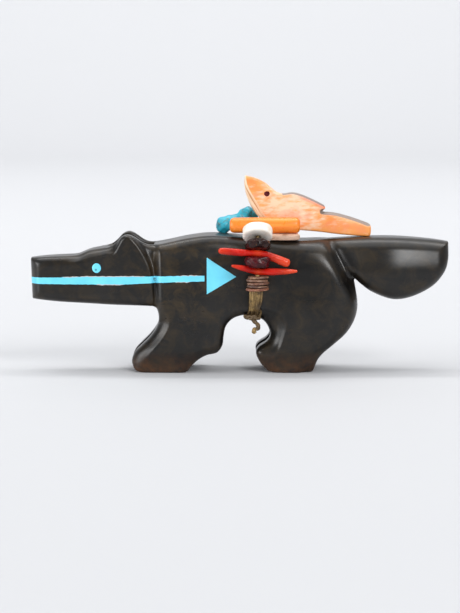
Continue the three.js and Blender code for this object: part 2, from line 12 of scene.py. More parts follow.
import bmesh
import bpy
import numpy as np
from mathutils import Matrix, Vector
from mathutils.bvhtree import BVHTree
from mathutils.noise import noise


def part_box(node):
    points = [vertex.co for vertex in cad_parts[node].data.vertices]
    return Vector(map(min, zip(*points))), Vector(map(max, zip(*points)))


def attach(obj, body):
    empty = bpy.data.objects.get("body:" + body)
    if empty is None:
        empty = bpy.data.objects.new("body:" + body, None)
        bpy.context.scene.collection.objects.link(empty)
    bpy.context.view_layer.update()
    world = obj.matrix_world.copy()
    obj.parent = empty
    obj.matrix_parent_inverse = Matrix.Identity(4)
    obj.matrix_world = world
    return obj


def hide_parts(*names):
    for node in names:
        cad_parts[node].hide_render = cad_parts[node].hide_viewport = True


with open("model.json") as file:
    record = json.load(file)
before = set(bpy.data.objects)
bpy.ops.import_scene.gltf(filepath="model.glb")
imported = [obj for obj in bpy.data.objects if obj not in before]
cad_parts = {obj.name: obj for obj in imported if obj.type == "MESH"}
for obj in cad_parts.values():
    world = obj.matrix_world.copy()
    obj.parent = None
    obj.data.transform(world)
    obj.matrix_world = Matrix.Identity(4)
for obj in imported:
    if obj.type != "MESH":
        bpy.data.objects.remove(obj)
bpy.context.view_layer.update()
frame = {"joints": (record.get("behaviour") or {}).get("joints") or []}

MM = 0.001
STONE_MIDDLE_X = 0.1  # design x of the middle of the stone's length
stone_low, stone_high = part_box("stone_body")
SHIFT = Vector((
    (stone_low.x + stone_high.x) / 2 / MM - STONE_MIDDLE_X,
    (stone_low.y + stone_high.y) / 2 / MM,
    0.0,
))

# ---- small tools


def smoothstep(a, b, x):
    """0 at a, 1 at b and smooth between them."""
    t = np.clip((x - a) / (b - a), 0, 1)
    return t * t * (3 - 2 * t)


def bump(a, b):
    """1 at 0, falling off over b on both sides."""
    return np.exp(-((a / b) ** 2))


def catmull(points, per_span):
    """A smooth curve through the points, which may have any number of coordinates."""
    p = np.asarray(points, float)
    padded = np.vstack([2 * p[0] - p[1], p, 2 * p[-1] - p[-2]])
    out = []
    for i in range(len(p) - 1):
        a, b, c, d = padded[i : i + 4]
        terms = 2 * b, c - a, 2 * a - 5 * b + 4 * c - d, 3 * b - a - 3 * c + d
        for t in np.linspace(0, 1, per_span, endpoint=False):
            out.append(0.5 * (terms[0] + terms[1] * t + terms[2] * t**2 + terms[3] * t**3))
    out.append(p[-1])
    return np.array(out)


def float_attribute(obj, name, values):
    attribute = obj.data.attributes.new(name, "FLOAT", "POINT")
    attribute.data.foreach_set("value", np.asarray(values, np.float32))


class SideMap:
    """Values on a grid in side view, for a shape drawn by its outline and its half width."""

    def __init__(self, low, high, step):
        self.low, self.step = np.array(low), step
        self.shape = tuple(int(k) for k in (np.array(high) - self.low) / step + 2)
        zeros = np.zeros(self.shape)
        self.x = self.low[0] + step * np.arange(self.shape[0])[:, None] + zeros
        self.z = self.low[1] + step * np.arange(self.shape[1])[None, :] + zeros

    def distance_to(self, line):
        """Distance to a line, its side (+1 left of travel) and the share of the way along it."""
        p = np.stack([self.x.ravel(), self.z.ravel()], 1)
        best, side, along = np.full(len(p), 1e9), np.ones(len(p)), np.zeros(len(p))
        lengths = np.hypot(*np.diff(line, axis=0).T)
        reached = np.concatenate([[0], np.cumsum(lengths)])
        for i, (a, b) in enumerate(zip(line[:-1], line[1:])):
            d = b - a
            t = np.clip(((p - a) @ d) / (d @ d), 0, 1)
            q = p - a - t[:, None] * d
            dist = np.hypot(q[:, 0], q[:, 1])
            closer = dist < best - 1e-9
            best = np.where(closer, dist, best)
            cross = d[0] * q[:, 1] - d[1] * q[:, 0]
            side = np.where(closer, np.where(cross >= 0, 1.0, -1.0), side)
            along = np.where(closer, (reached[i] + t * lengths[i]) / reached[-1], along)
        return [values.reshape(self.shape) for values in (best, side, along)]

    def right_of(self, points):
        """Distance to a curve, positive on the right of travel, and the share of its length."""
        distance, side, along = self.distance_to(catmull(points, 6))
        return -side * distance, along

    def inside(self, polygon):
        """Distance to a closed outline, negative inside."""
        distance, _, _ = self.distance_to(np.vstack([polygon, polygon[:1]]))
        within = np.zeros(self.shape, bool)
        for (x0, z0), (x1, z1) in zip(polygon, np.roll(polygon, -1, axis=0)):
            if z0 != z1:
                crosses = (z0 > self.z) != (z1 > self.z)
                within ^= crosses & (self.x < (x1 - x0) * (self.z - z0) / (z1 - z0) + x0)
        return np.where(within, -distance, distance)

    def blurred(self, values, sigma):
        """The values with their kinks rounded off; sigma is in millimetres."""
        reach = int(3 * sigma / self.step) + 1
        kernel = np.exp(-0.5 * (np.arange(-reach, reach + 1) * self.step / sigma) ** 2)
        kernel /= kernel.sum()
        padded = np.pad(values, reach, mode="edge")
        padded = sum(k * padded[i : i + values.shape[0], :] for i, k in enumerate(kernel))
        return sum(k * padded[:, i : i + values.shape[1]] for i, k in enumerate(kernel))

    def sample(self, values, x, z):
        """The values at any points, between those of the grid."""
        u = np.clip((x - self.low[0]) / self.step, 0, self.shape[0] - 1.001)
        v = np.clip((z - self.low[1]) / self.step, 0, self.shape[1] - 1.001)
        i, j = u.astype(int), v.astype(int)
        fu, fv = u - i, v - j
        return (
            values[i, j] * (1 - fu) * (1 - fv)
            + values[i + 1, j] * fu * (1 - fv)
            + values[i, j + 1] * (1 - fu) * fv
            + values[i + 1, j + 1] * fu * fv
        )


def joined(stretches):
    """A closed outline from its stretches: curves, or straight lines where they have two points."""
    lines = [catmull(s, 5) if len(s) > 2 else np.array(s, float) for s in stretches]
    return np.vstack([line[:-1] for line in lines])


# ---- the stone's side view

OUTLINE = (
    # the top of the muzzle, brow, ear and back
    [(-41.8, 22.6), (-37.5, 22.95), (-33.8, 23.1), (-32.2, 23.3), (-31.0, 23.8), (-29.6, 24.3),
     (-27.2, 24.75), (-25.7, 25.1), (-24.6, 25.9), (-23.5, 27.0), (-22.5, 27.45), (-21.6, 27.35),
     (-20.5, 26.75), (-19.3, 25.95), (-18.0, 25.5), (-16.0, 25.6), (-13.5, 26.1), (-9.9, 26.85),
     (-5.2, 27.3), (2.5, 26.75), (10.0, 26.2), (18.0, 26.45), (26.0, 26.8), (32.0, 26.75),
     (38.2, 26.3), (41.8, 25.8)],
    # the tail
    [(41.8, 25.8), (41.7, 22.4), (40.8, 19.7), (38.4, 17.0), (34.4, 15.0), (30.6, 14.5),
     (26.6, 15.9), (24.4, 17.4), (22.7, 18.9)],
    # the hind leg's back, its sole and its front, the belly and the foreleg's back
    [(22.7, 18.9), (23.2, 16.3), (23.5, 14.0), (23.3, 12.0), (22.5, 9.8), (21.0, 7.7),
     (18.7, 5.7), (16.7, 4.0), (15.6, 2.6), (15.0, 1.0), (14.3, -1.2)],
    [(14.3, -1.2), (8.4, -1.2)],
    [(8.4, -1.2), (6.7, -0.4), (5.5, 0.5), (4.6, 1.35), (3.9, 2.35), (3.4, 3.4), (3.3, 4.3),
     (3.9, 5.2), (5.4, 6.2), (6.1, 7.3), (5.9, 8.6), (5.2, 9.9), (4.0, 10.9), (2.2, 11.5),
     (0.2, 11.4), (-1.5, 10.7), (-2.7, 9.3), (-3.15, 7.4), (-3.4, 5.5), (-4.5, 4.0),
     (-6.6, 3.45), (-8.4, 2.4), (-9.8, 1.0), (-11.4, -1.2)],
    # the forefoot's sole and front, and the chest
    [(-11.4, -1.2), (-18.4, -1.2)],
    [(-18.4, -1.2), (-20.0, -0.3), (-21.0, 0.7), (-21.5, 2.2), (-20.9, 3.9), (-19.6, 5.3),
     (-17.9, 7.0), (-16.5, 9.0), (-16.05, 10.9), (-16.4, 12.7), (-17.2, 13.3)],
    # under the muzzle, and its front
    [(-17.2, 13.3), (-21.0, 13.4), (-27.0, 13.5), (-36.0, 13.9), (-41.5, 14.4)],
    [(-41.5, 14.4), (-41.8, 22.65)],
)

# ---- half width of the stone

WIDTH_START, WIDTH_STEP = -42.0, 6.0
BODY_WIDTHS = (3.2, 4.2, 5.0, 6.5, 7.3, 7.5, 7.6, 7.4, 7.3, 7.8, 8.1, 7.9, 7.6, 7.4, 7.0)
TAIL_WIDTHS = (6.3, 6.3, 6.3, 6.3, 6.3, 6.3, 6.3, 6.3, 6.3, 6.3, 6.2, 6.5, 7.0, 6.1, 4.5)
LEG_SWELLS = ((0.7, 15, 12), (0.4, -10, 13))  # how much, x and z
SWELL_REACH = 6.4
RIM_LINE = [(-23.4, 26.8), (-22.7, 27.3), (-21.9, 27.1), (-20.7, 25.9), (-19.6, 24.4),
            (-18.8, 23.0), (-18.1, 21.4), (-17.7, 19.8), (-17.5, 17.6), (-17.35, 15.4),
            (-17.2, 13.0)]
EAR_FRONT = [(-23.1, 27.4), (-23.6, 26.3), (-24.3, 24.8), (-25.0, 23.6), (-26.2, 22.9)]
FORELEG_RIDGE = [(-16.9, 13.6), (-14.8, 13.1), (-13.3, 11.8), (-12.8, 10.0), (-13.2, 8.3),
                 (-14.2, 6.6), (-15.8, 4.6), (-17.4, 2.4), (-19.1, 0.2), (-20.1, -1.2)]
HINDLEG_RIDGE = [(3.0, 13.1), (5.6, 12.9), (7.6, 12.1), (8.8, 10.8), (9.1, 9.2), (8.8, 7.6),
                 (8.3, 5.8), (7.7, 4.0), (7.2, 2.2)]
HAUNCH_ARC = [(2.0, 24.5), (7.0, 24.4), (11.3, 23.8), (14.3, 22.6), (16.8, 20.6), (18.8, 18.0),
              (20.0, 14.6), (19.7, 11.2), (18.2, 8.0), (16.0, 5.0)]
HAUNCH_ROLL = 6.2  # radius that the rump rolls away with behind the arc
BROW_LINE = [(-35.0, 21.8), (-32.6, 22.0), (-30.8, 22.5), (-28.4, 23.1), (-26.0, 23.7)]
TAIL_ROOT = (22.8, 18.0)
TAIL_GROOVE = (0.897, 0.443)  # direction across the groove before the tail
stone_map = SideMap((-43.6, -3.0), (44.05, 29.45), 0.15)


def width_map():
    x, z = stone_map.x, stone_map.z
    steps = WIDTH_START + WIDTH_STEP * np.arange(len(BODY_WIDTHS))
    body, tail = (
        np.interp(x, *catmull(np.stack([steps, widths], 1), 12).T)
        for widths in (BODY_WIDTHS, TAIL_WIDTHS)
    )
    past = (x - TAIL_ROOT[0]) * TAIL_GROOVE[0] + (z - TAIL_ROOT[1]) * TAIL_GROOVE[1]
    for amount, swell_x, swell_z in LEG_SWELLS:
        body = body + amount * bump(x - swell_x, SWELL_REACH) * bump(z - swell_z, SWELL_REACH)
    body = body - 0.8 * smoothstep(20.5, 26.5, z) * smoothstep(-20, -14, x)
    body = body - 0.9 * smoothstep(5, 0, z)
    body = body - 1.0 * smoothstep(-39.6, -41.9, x) ** 2
    tail = tail - 0.12 * np.clip(np.abs(z - 20.0) - 0.3, 0, 9) ** 1.5

    # the rump rolls away behind a long curved ridge, down to the groove before the tail
    s, _ = stone_map.right_of(HAUNCH_ARC)
    roll = np.clip(-s, 0, 4.1)
    body = body - (HAUNCH_ROLL - np.sqrt(HAUNCH_ROLL**2 - roll**2)) * smoothstep(4, 12, x)
    width = stone_map.blurred(body + (tail - body) * smoothstep(-1.6, -0.6, past), 0.5)
    width = width - 0.95 * bump(past + 0.85, 1.15) * smoothstep(14.5, 18.5, z)

    # the neck is hollowed behind the cheek
    rim, _ = stone_map.right_of(RIM_LINE)
    wall = smoothstep(0, 0.8, -rim)
    right_edge = -15.7 + 0.02 * (22 - z)
    flank = np.clip((right_edge - x) / 1.4, 0, 1)
    flank = flank * (1.2 - 0.2 * flank)
    depth = (0.95 + 0.35 * smoothstep(13, 22, z)) * smoothstep(12.2, 14.2, z)
    right_of_ear = smoothstep(-24, -22.5, x)
    width = width - depth * np.where(rim < 0, wall, 0) * flank * right_of_ear

    # each leg has a chiselled hollow in front of a crisp ridge
    for ridge, drop, reach, stop in (
        (FORELEG_RIDGE, 1.0, 3.4, 2.0),
        (HINDLEG_RIDGE, 0.85, 2.0, 0.7),
    ):
        s, along = stone_map.right_of(ridge)
        hollow = 0.3 * drop * smoothstep(0, 0.4, s) + 0.42 * drop * np.clip(s, 0, reach) ** 1.2
        ends = smoothstep(0, 0.16, along) * smoothstep(1.0, stop, along)
        near = smoothstep(9.0, 7.0, s)
        width = width - np.where(s > 0, hollow * ends * near, 0)

    # the top of the head is planed off above the brow, up to the front of the ear
    s, along = stone_map.right_of(BROW_LINE)
    front, _ = stone_map.right_of(EAR_FRONT)
    ends = smoothstep(0, 0.3, along)
    ahead = smoothstep(0.0, 0.5, front) * smoothstep(-22.5, -24.5, x)
    planed = 0.16 * smoothstep(0, 0.35, -s) + 0.3 * np.clip(-s, 0, 3)
    width = width - np.where(s < 0, planed, 0) * ends * ahead
    return stone_map.blurred(width, 0.16)


def edge_map():
    """How far the stone's long edges are rounded."""
    x, z = stone_map.x, stone_map.z
    edge = (
        1.9
        + 0.6 * smoothstep(20, 25, z) * smoothstep(-20, -10, x)
        - 0.15 * smoothstep(-26, -36, x)
        - 1.2 * bump(x + 21.7, 3.4) * smoothstep(23, 26, z)
        - 0.5 * smoothstep(4, 1, z)
    )
    reach, along = stone_map.right_of(FORELEG_RIDGE)
    return edge + 1.3 * smoothstep(0.4, 1.8, reach) * smoothstep(0.05, 0.3, along) * (
        smoothstep(9, 7, reach) * smoothstep(0.0, 3.0, z)
    )


outline_distance = stone_map.inside(joined(OUTLINE))
half_width = width_map()
edge_radius = edge_map()
EAR_INNER = 3.5  # half the space between the ears
EAR_X, EAR_REACH = -21.8, 4.6
HEAD_TOP = 24.75
LEG_GAP = 3.2
LEG_GAP_TOP = 8.0


def rounded_and(a, b, r):
    """Where both distances are negative, with the edge between them rounded."""
    u, v = a + r, b + r
    return np.minimum(np.maximum(u, v), 0) + np.hypot(np.maximum(u, 0), np.maximum(v, 0)) - r


def stone_field(x, y, z):
    """Signed distance, roughly, to the carved stone."""
    side = np.abs(y)
    width = stone_map.sample(half_width, x, z)
    sway = 0.31 * x + 0.23 * z + 0.8
    width = width + 0.05 * np.sin(sway) * np.cos(0.17 * x - 0.29 * z + 0.3 * np.sign(y))
    edge = stone_map.sample(edge_radius, x, z)
    body = rounded_and(stone_map.sample(outline_distance, x, z), side - width, edge)
    between_ears = np.maximum(side - EAR_INNER, HEAD_TOP - z)
    near_ears = np.abs(x - EAR_X) - EAR_REACH
    body = rounded_and(body, -np.maximum(between_ears, near_ears), 0.5)
    roof = LEG_GAP_TOP - LEG_GAP / 2
    slot = np.maximum(side - LEG_GAP / 2, z - roof)
    gap = np.minimum(slot, np.hypot(y, z - roof) - LEG_GAP / 2)
    body = rounded_and(body, -gap, 0.6)
    return rounded_and(body, -z, 0.5)


def surface_net(field, low, step):
    """A quad mesh of a sampled field's zero surface, facing towards positive values."""
    nx, ny, nz = field.shape
    neg = field < 0
    total = np.zeros((nx - 1, ny - 1, nz - 1, 3))
    count = np.zeros((nx - 1, ny - 1, nz - 1))
    crossings = []
    for axis in range(3):
        a, b = [slice(None)] * 3, [slice(None)] * 3
        a[axis], b[axis] = slice(None, -1), slice(1, None)
        a, b = tuple(a), tuple(b)
        hit = np.argwhere(neg[a] != neg[b])
        across = [k for k in range(3) if k != axis]
        for k in across:
            hit = hit[(hit[:, k] > 0) & (hit[:, k] < field.shape[k] - 1)]
        at = tuple(hit.T)
        point = hit.astype(float)
        point[:, axis] += field[a][at] / (field[a][at] - field[b][at])
        cells = []  # the four cells round each crossed edge
        for offset in ((-1, -1), (0, -1), (0, 0), (-1, 0)):
            cell = hit.copy()
            cell[:, across] += offset
            cells.append(tuple(cell.T))
            np.add.at(total, cells[-1], point)
            np.add.at(count, cells[-1], 1)
        crossings.append((cells, neg[a][at] != (axis == 1)))
    used = tuple(np.argwhere(count > 0).T)
    number = np.full(count.shape, -1)
    number[used] = np.arange(len(used[0]))
    quads = []
    for cells, turned in crossings:
        quad = np.stack([number[cell] for cell in cells], 1)
        quads.append(np.where(turned[:, None], quad, quad[:, ::-1]))
    return total[used] / count[used][:, None] * step + low, np.vstack(quads)


def field_gradient(field, p, h=0.08):
    steps = np.eye(3) * h
    return np.stack([(field(*(p + s).T) - field(*(p - s).T)) / (2 * h) for s in steps], 1)


def settled(field, verts, quads, rounds=3):
    """Evens out the mesh and puts its points back on the zero surface."""
    edges = np.vstack([quads[:, [0, 1]], quads[:, [1, 2]], quads[:, [2, 3]], quads[:, [3, 0]]])
    for _ in range(rounds):
        around = np.zeros_like(verts)
        count = np.zeros(len(verts))
        np.add.at(around, edges[:, 0], verts[edges[:, 1]])
        np.add.at(count, edges[:, 0], 1)
        verts = verts + 0.5 * (around / count[:, None] - verts)
        gradient = field_gradient(field, verts)
        length2 = np.maximum((gradient**2).sum(1), 0.2)
        verts = verts - (field(*verts.T) / length2)[:, None] * gradient
    return verts


def carved(field, low, high, step, rounds):
    """The mesh of a field's zero surface between two corners."""
    axes = [np.arange(a, b + step, step) for a, b in zip(low, high)]
    verts, quads = surface_net(field(*np.meshgrid(*axes, indexing="ij")), np.array(low), step)
    return settled(field, verts, quads, rounds), quads


STONE_STEP = 0.3
stone_verts, stone_quads = carved(
    stone_field, (-42.4, -9.4, -0.7), (42.8, 9.4, 28.0), STONE_STEP, 3
)
stone_tree = BVHTree.FromPolygons(
    [Vector(v) for v in stone_verts], [tuple(int(i) for i in q) for q in stone_quads]
)

# ---- pieces in general

joints = {j["name"]: j for j in frame["joints"]}


def grid_faces(rows, columns, closed=False):
    """Quads of a grid of points given row by row; closed joins the last column to the first."""
    faces = []
    across = columns if closed else columns - 1
    for i in range(rows - 1):
        for j in range(across):
            k = (j + 1) % columns
            a, b = i * columns, (i + 1) * columns
            faces.append((a + j, a + k, b + k, b + j))
    return faces


def merged(parts):
    """Several (verts, faces) as one."""
    verts, faces = [], []
    for v, f in parts:
        start = len(verts)
        verts.extend([tuple(p) for p in v])
        faces.extend([tuple(i + start for i in face) for face in f])
    return verts, faces


def walk(points):
    """Each point of a path with two directions across it that don't spin."""
    n = len(points)
    normal = None
    for i, p in enumerate(points):
        tangent = Vector(points[min(i + 1, n - 1)] - points[max(i - 1, 0)]).normalized()
        if normal is None:
            normal = tangent.orthogonal().normalized()
        normal = (normal - tangent * normal.dot(tangent)).normalized()
        yield Vector(p), normal, tangent.cross(normal)


def tube(points, radii, sides, wobble=0.0, seed=0):
    """A round tube along points, its radius given at each, closed by a cap at both ends."""
    verts = []
    for (p, normal, other), radius in zip(walk([Vector(p) for p in points]), radii):
        for j in range(sides):
            a = 2 * math.pi * j / sides
            r = radius
            if wobble:
                r *= 1 + wobble * noise(p * 0.9 + Vector((math.cos(a), math.sin(a), seed * 7.3)))
            verts.append(p + (normal * math.cos(a) + other * math.sin(a)) * r)
    n = len(points)
    faces = [tuple(reversed(f)) for f in grid_faces(n, sides, closed=True)]
    faces.append(tuple(range(sides)))
    faces.append(tuple(reversed(range((n - 1) * sides, n * sides))))
    return verts, faces


def rounded_ends(length, radius, steps=5):
    """Shares of a length and radii that round off both ends of a tube."""
    ends = [radius * (1 - math.cos(a)) for a in np.linspace(0, math.pi / 2, steps)]
    sizes = [math.sin(a) for a in np.linspace(0, math.pi / 2, steps)]
    places = ends + [length - e for e in reversed(ends)]
    return np.array(places) / length, np.array([max(s, 0.06) for s in sizes + sizes[::-1]])


def along_curve(points, shares):
    """Points at the given shares of a curve's length."""
    fine = catmull(points, 24)
    steps = np.linalg.norm(np.diff(fine, axis=0), axis=1)
    reached = np.concatenate([[0], np.cumsum(steps)])
    places = np.asarray(shares) * reached[-1]
    return np.stack([np.interp(places, reached, fine[:, k]) for k in range(3)], 1)


def curve_length(points):
    return np.linalg.norm(np.diff(catmull(points, 24), axis=0), axis=1).sum()


def lathe(profile, sides, radial=None):
    """A ring-shaped solid from a closed profile of (radius, height), with its bore along Z."""
    verts = []
    for r, h in profile:
        for j in range(sides):
            a = 2 * math.pi * j / sides
            out = r * (radial(a, r, h) if radial else 1.0)
            verts.append((out * math.cos(a), out * math.sin(a), h))
    last = (len(profile) - 1) * sides
    faces = grid_faces(len(profile), sides, closed=True)
    for j in range(sides):
        k = (j + 1) % sides
        faces.append((last + j, last + k, k, j))
    return verts, faces


def faceted(verts, count, seed, depth, squash):
    """Cuts flat facets into a blob of points round the origin."""
    rng = np.random.default_rng(seed)
    p = np.array(verts, float)
    for _ in range(count):
        n = rng.normal(size=3) * squash
        n /= np.linalg.norm(n)
        reach = p @ n
        limit = reach.max() * (1 - depth * rng.uniform(0.3, 1.0))
        p -= np.outer(np.maximum(reach - limit, 0), n)
    return p


def bead_axis(joint):
    """Where a joint is, in design millimetres, and its axis."""
    return Vector(joints[joint]["pos_m"]) / MM - SHIFT, Vector(joints[joint]["axis"])


def placed_on(joint, verts):
    """Points round a bead's own Z axis, put where its joint is, in design millimetres."""
    at, axis = bead_axis(joint)
    turn = Vector((0, 0, 1)).rotation_difference(axis)
    return [turn @ Vector(v) + at for v in verts]


def leaning(joint, verts, lean):
    """Leans a bead's upper end, by a rise per millimetre towards the viewer's side."""
    at, axis = bead_axis(joint)
    near = Vector((0, -1, 0))
    near = (near - axis * near.dot(axis)).normalized()
    result = []
    for v in verts:
        up, out = (v - at).dot(axis), (v - at).dot(near)
        result.append(v + axis * out * (lean * min(1, max(up, 0))))
    return result


def design_box(node):
    """A CAD node's two corners, in design millimetres."""
    low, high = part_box(node)
    return low / MM - SHIFT, high / MM - SHIFT


def outward(verts, faces):
    """The same mesh with every face turned outwards."""
    mesh = bmesh.new()
    made = [mesh.verts.new(v) for v in verts]
    for f in faces:
        mesh.faces.new([made[i] for i in f])
    bmesh.ops.recalc_face_normals(mesh, faces=mesh.faces)
    mesh.verts.index_update()
    result = [tuple(v.index for v in f.verts) for f in mesh.faces]
    mesh.free()
    return verts, result


def piece(node, verts, faces, slot, material, sharp=None, body="figure", name=None):
    """A piece that stands for a CAD node; sharp is the angle, in degrees, of a hard edge."""
    name = name or node + "_visual"
    mesh = bpy.data.meshes.new(name)
    placed = (np.asarray(verts, float) + np.array(SHIFT)) * MM
    mesh.from_pydata(placed.tolist(), [], [list(f) for f in faces])
    mesh.validate()
    mesh.update()
    mesh.shade_smooth()
    if sharp:
        mesh.set_sharp_from_angle(angle=math.radians(sharp))
    mesh.materials.append(material)
    obj = bpy.data.objects.new(name, mesh)
    bpy.context.scene.collection.objects.link(obj)
    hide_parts(node)
    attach(obj, body)
    return obj


# ---- materials


def rgba(value):
    return (*((value,) * 3 if isinstance(value, (int, float)) else value), 1)


class Nodes:
    """Builds one material's nodes."""

    def __init__(self, name):
        self.material = bpy.data.materials.new(name)
        self.material.use_nodes = True
        self.tree = self.material.node_tree
        self.shader = self.tree.nodes["Principled BSDF"]
        coords = self.tree.nodes.new("ShaderNodeTexCoord").outputs["Object"]
        place = self.add("VectorMath", {0: coords, "Scale": 1 / MM}, operation="SCALE")
        self.mm = place.outputs[0]

    def add(self, kind, inputs=(), **settings):
        node = self.tree.nodes.new("ShaderNode" + kind)
        for key, value in settings.items():
            setattr(node, key, value)
        for key, value in dict(inputs).items():
            self.put(node.inputs[key], value)
        return node

    def put(self, socket, value):
        if isinstance(value, bpy.types.NodeSocket):
            self.tree.links.new(value, socket)
        else:
            socket.default_value = rgba(value) if socket.type == "RGBA" else value

    def noise(self, size, detail=3.0, vector=None, distortion=0.0, roughness=0.5):
        """Noise whose blobs are about that many millimetres across."""
        inputs = {
            "Vector": vector or self.mm,
            "Scale": 1 / size,
            "Detail": detail,
            "Roughness": roughness,
            "Distortion": distortion,
        }
        return self.add("TexNoise", inputs).outputs["Fac"]

    def stretched(self, scale, rotation=(0, 0, 0), location=(0, 0, 0)):
        inputs = {"Vector": self.mm, "Scale": scale, "Rotation": rotation, "Location": location}
        return self.add("Mapping", inputs).outputs["Vector"]

    def ramp(self, value, *stops):
        """Colours, or levels of grey, at places along the value."""
        node = self.add("ValToRGB", {"Fac": value})
        elements = node.color_ramp.elements
        while len(elements) < len(stops):
            elements.new(0.5)
        for element, (place, color) in zip(elements, stops):
            element.position = place
            element.color = rgba(color)
        return node.outputs["Color"]

    def fade(self, value, start, end, before=0.0, after=1.0):
        """One level up to the start and another from the end on."""
        return self.ramp(value, (start, before), (end, after))

    def uneven(self, size, low, high):
        """A level that wanders between two values, for roughness."""
        return self.fade(self.noise(size), 0.3, 0.7, low, high)

    def mix(self, fac, a, b, blend="MIX"):
        node = self.add("Mix", data_type="RGBA", blend_type=blend)
        for socket, value in ((0, fac), (6, a), (7, b)):  # the sockets for colours
            self.put(node.inputs[socket], value)
        return node.outputs[2]

    def math(self, operation, a, b=0.0, clamp=False):
        return self.add("Math", {0: a, 1: b}, operation=operation, use_clamp=clamp).outputs[0]

    def times(self, a, b):
        return self.math("MULTIPLY", a, b)

    def plus(self, a, b, clamp=False):
        return self.math("ADD", a, b, clamp)

    def attribute(self, name):
        return self.add("Attribute", attribute_name=name).outputs["Fac"]

    def height(self):
        return self.add("SeparateXYZ", {"Vector": self.mm}).outputs["Z"]

    def distance(self, centre):
        inputs = {0: self.mm, 1: centre}
        return self.add("VectorMath", inputs, operation="DISTANCE").outputs["Value"]

    def falling(self, value, reach):
        """1 where the value is 0, falling to 0 at the reach."""
        return self.math("SUBTRACT", 1.0, self.math("DIVIDE", value, reach), True)

    def near(self, centre, radius):
        """1 at a point of the frame in millimetres, falling to 0 at the radius."""
        return self.falling(self.distance(centre), radius)

    def bump(self, height, strength, distance):
        """A bump whose full height is that many millimetres."""
        node = self.add("Bump", {"Height": height, "Strength": strength, "Distance": distance * MM})
        self.put(self.shader.inputs["Normal"], node.outputs["Normal"])

    def finish(self, **inputs):
        for key, value in inputs.items():
            self.put(self.shader.inputs[key.replace("_", " ")], value)
        return self.material


def stone_material():
    """Polished black stone: brown in patches and on the shoulder, rusty and dull at the feet."""
    n = Nodes("black_stone")
    cloud = n.noise(7.0, 5.0, roughness=0.62)
    base = n.fade(cloud, 0.32, 0.7, (0.0035, 0.0032, 0.003), (0.011, 0.0095, 0.008))
    spots = n.fade(n.noise(3.2, 6.0, distortion=0.6, roughness=0.7), 0.44, 0.70)
    shoulder = n.near((-11.5, -5.0, 21.0), 12.5)
    # the node's own third value, 0.5, is added to the shoulder, so the spots show everywhere
    brown = n.times(spots, n.math("MULTIPLY_ADD", shoulder, 1.3, True))
    brown = n.plus(brown, n.times(spots, 0.05), True)
    base = n.mix(brown, base, (0.042, 0.027, 0.011))
    foot = n.falling(n.height(), 4.5)
    rust_spots = n.fade(n.noise(2.2, 5.0, roughness=0.65), 0.35, 0.75)
    rust = n.math("MULTIPLY", foot, rust_spots, True)
    base = n.mix(rust, base, (0.100, 0.037, 0.010))
    cells = n.add("TexVoronoi", {"Vector": n.mm, "Scale": 1 / 0.9}).outputs["Distance"]
    flecks = n.fade(cells, 0.03, 0.10, 1.0, 0.0)
    base = n.mix(n.times(flecks, 0.5), base, (0.05, 0.042, 0.032))
    smear = n.noise(4.0, 4.0, vector=n.stretched((0.35, 1, 1.6)), roughness=0.6)
    rough = n.fade(smear, 0.3, 0.75, 0.26, 0.36)
    rough = n.mix(n.times(foot, 0.7), rough, 0.62)
    scratches = n.noise(0.9, 3.0, vector=n.stretched((0.12, 1, 1), rotation=(0, 0.12, 0)))
    n.bump(n.plus(n.noise(0.5), n.times(scratches, 1.2)), 0.10, 0.06)
    return n.finish(Base_Color=base, Roughness=rough, IOR=1.43)


def inlay_material():
    """Bright turquoise, with pale filler in places along its long edges and a ragged painted shade
    of the seam at its rim and walls.
    """
    n = Nodes("inlay_turquoise")
    base = n.fade(n.noise(3.0), 0.3, 0.7, (0.135, 0.62, 0.83), (0.175, 0.71, 0.90))
    edge = n.attribute("edge")
    ragged = n.noise(0.5, vector=n.stretched((0.5, 1, 1.5)))
    reach = n.plus(edge, n.times(n.math("SUBTRACT", ragged, 0.5), 0.22))
    at_edge = n.fade(reach, 0.80, 0.87)
    filler = n.times(at_edge, n.fade(n.attribute("filled"), 0.12, 0.4))
    # painted shade: the rim and the walls turn dark teal where the strip meets the stone, standing
    # for the shadow in the seam
    base = n.mix(n.fade(reach, 0.97, 1.0, 0.0, 0.7), base, (0.02, 0.05, 0.06))
    base = n.mix(filler, base, (0.50, 0.46, 0.44))
    rough = n.uneven(1.5, 0.34, 0.46)
    rough = n.mix(filler, rough, 0.75)
    n.bump(n.noise(0.6), 0.12, 0.05)
    return n.finish(Base_Color=base, Roughness=rough)


def eye_inlay_material(pit_centre):
    """The same turquoise with a small dark pit."""
    n = Nodes("inlay_eye")
    base = n.fade(n.noise(1.2), 0.3, 0.7, (0.12, 0.60, 0.82), (0.19, 0.74, 0.92))
    pit = n.fade(n.distance(pit_centre), 0.16, 0.30, 1.0, 0.0)
    base = n.mix(n.times(pit, 0.8), base, (0.04, 0.16, 0.20))
    n.bump(n.noise(0.5), 0.15, 0.05)
    return n.finish(Base_Color=base, Roughness=0.32)


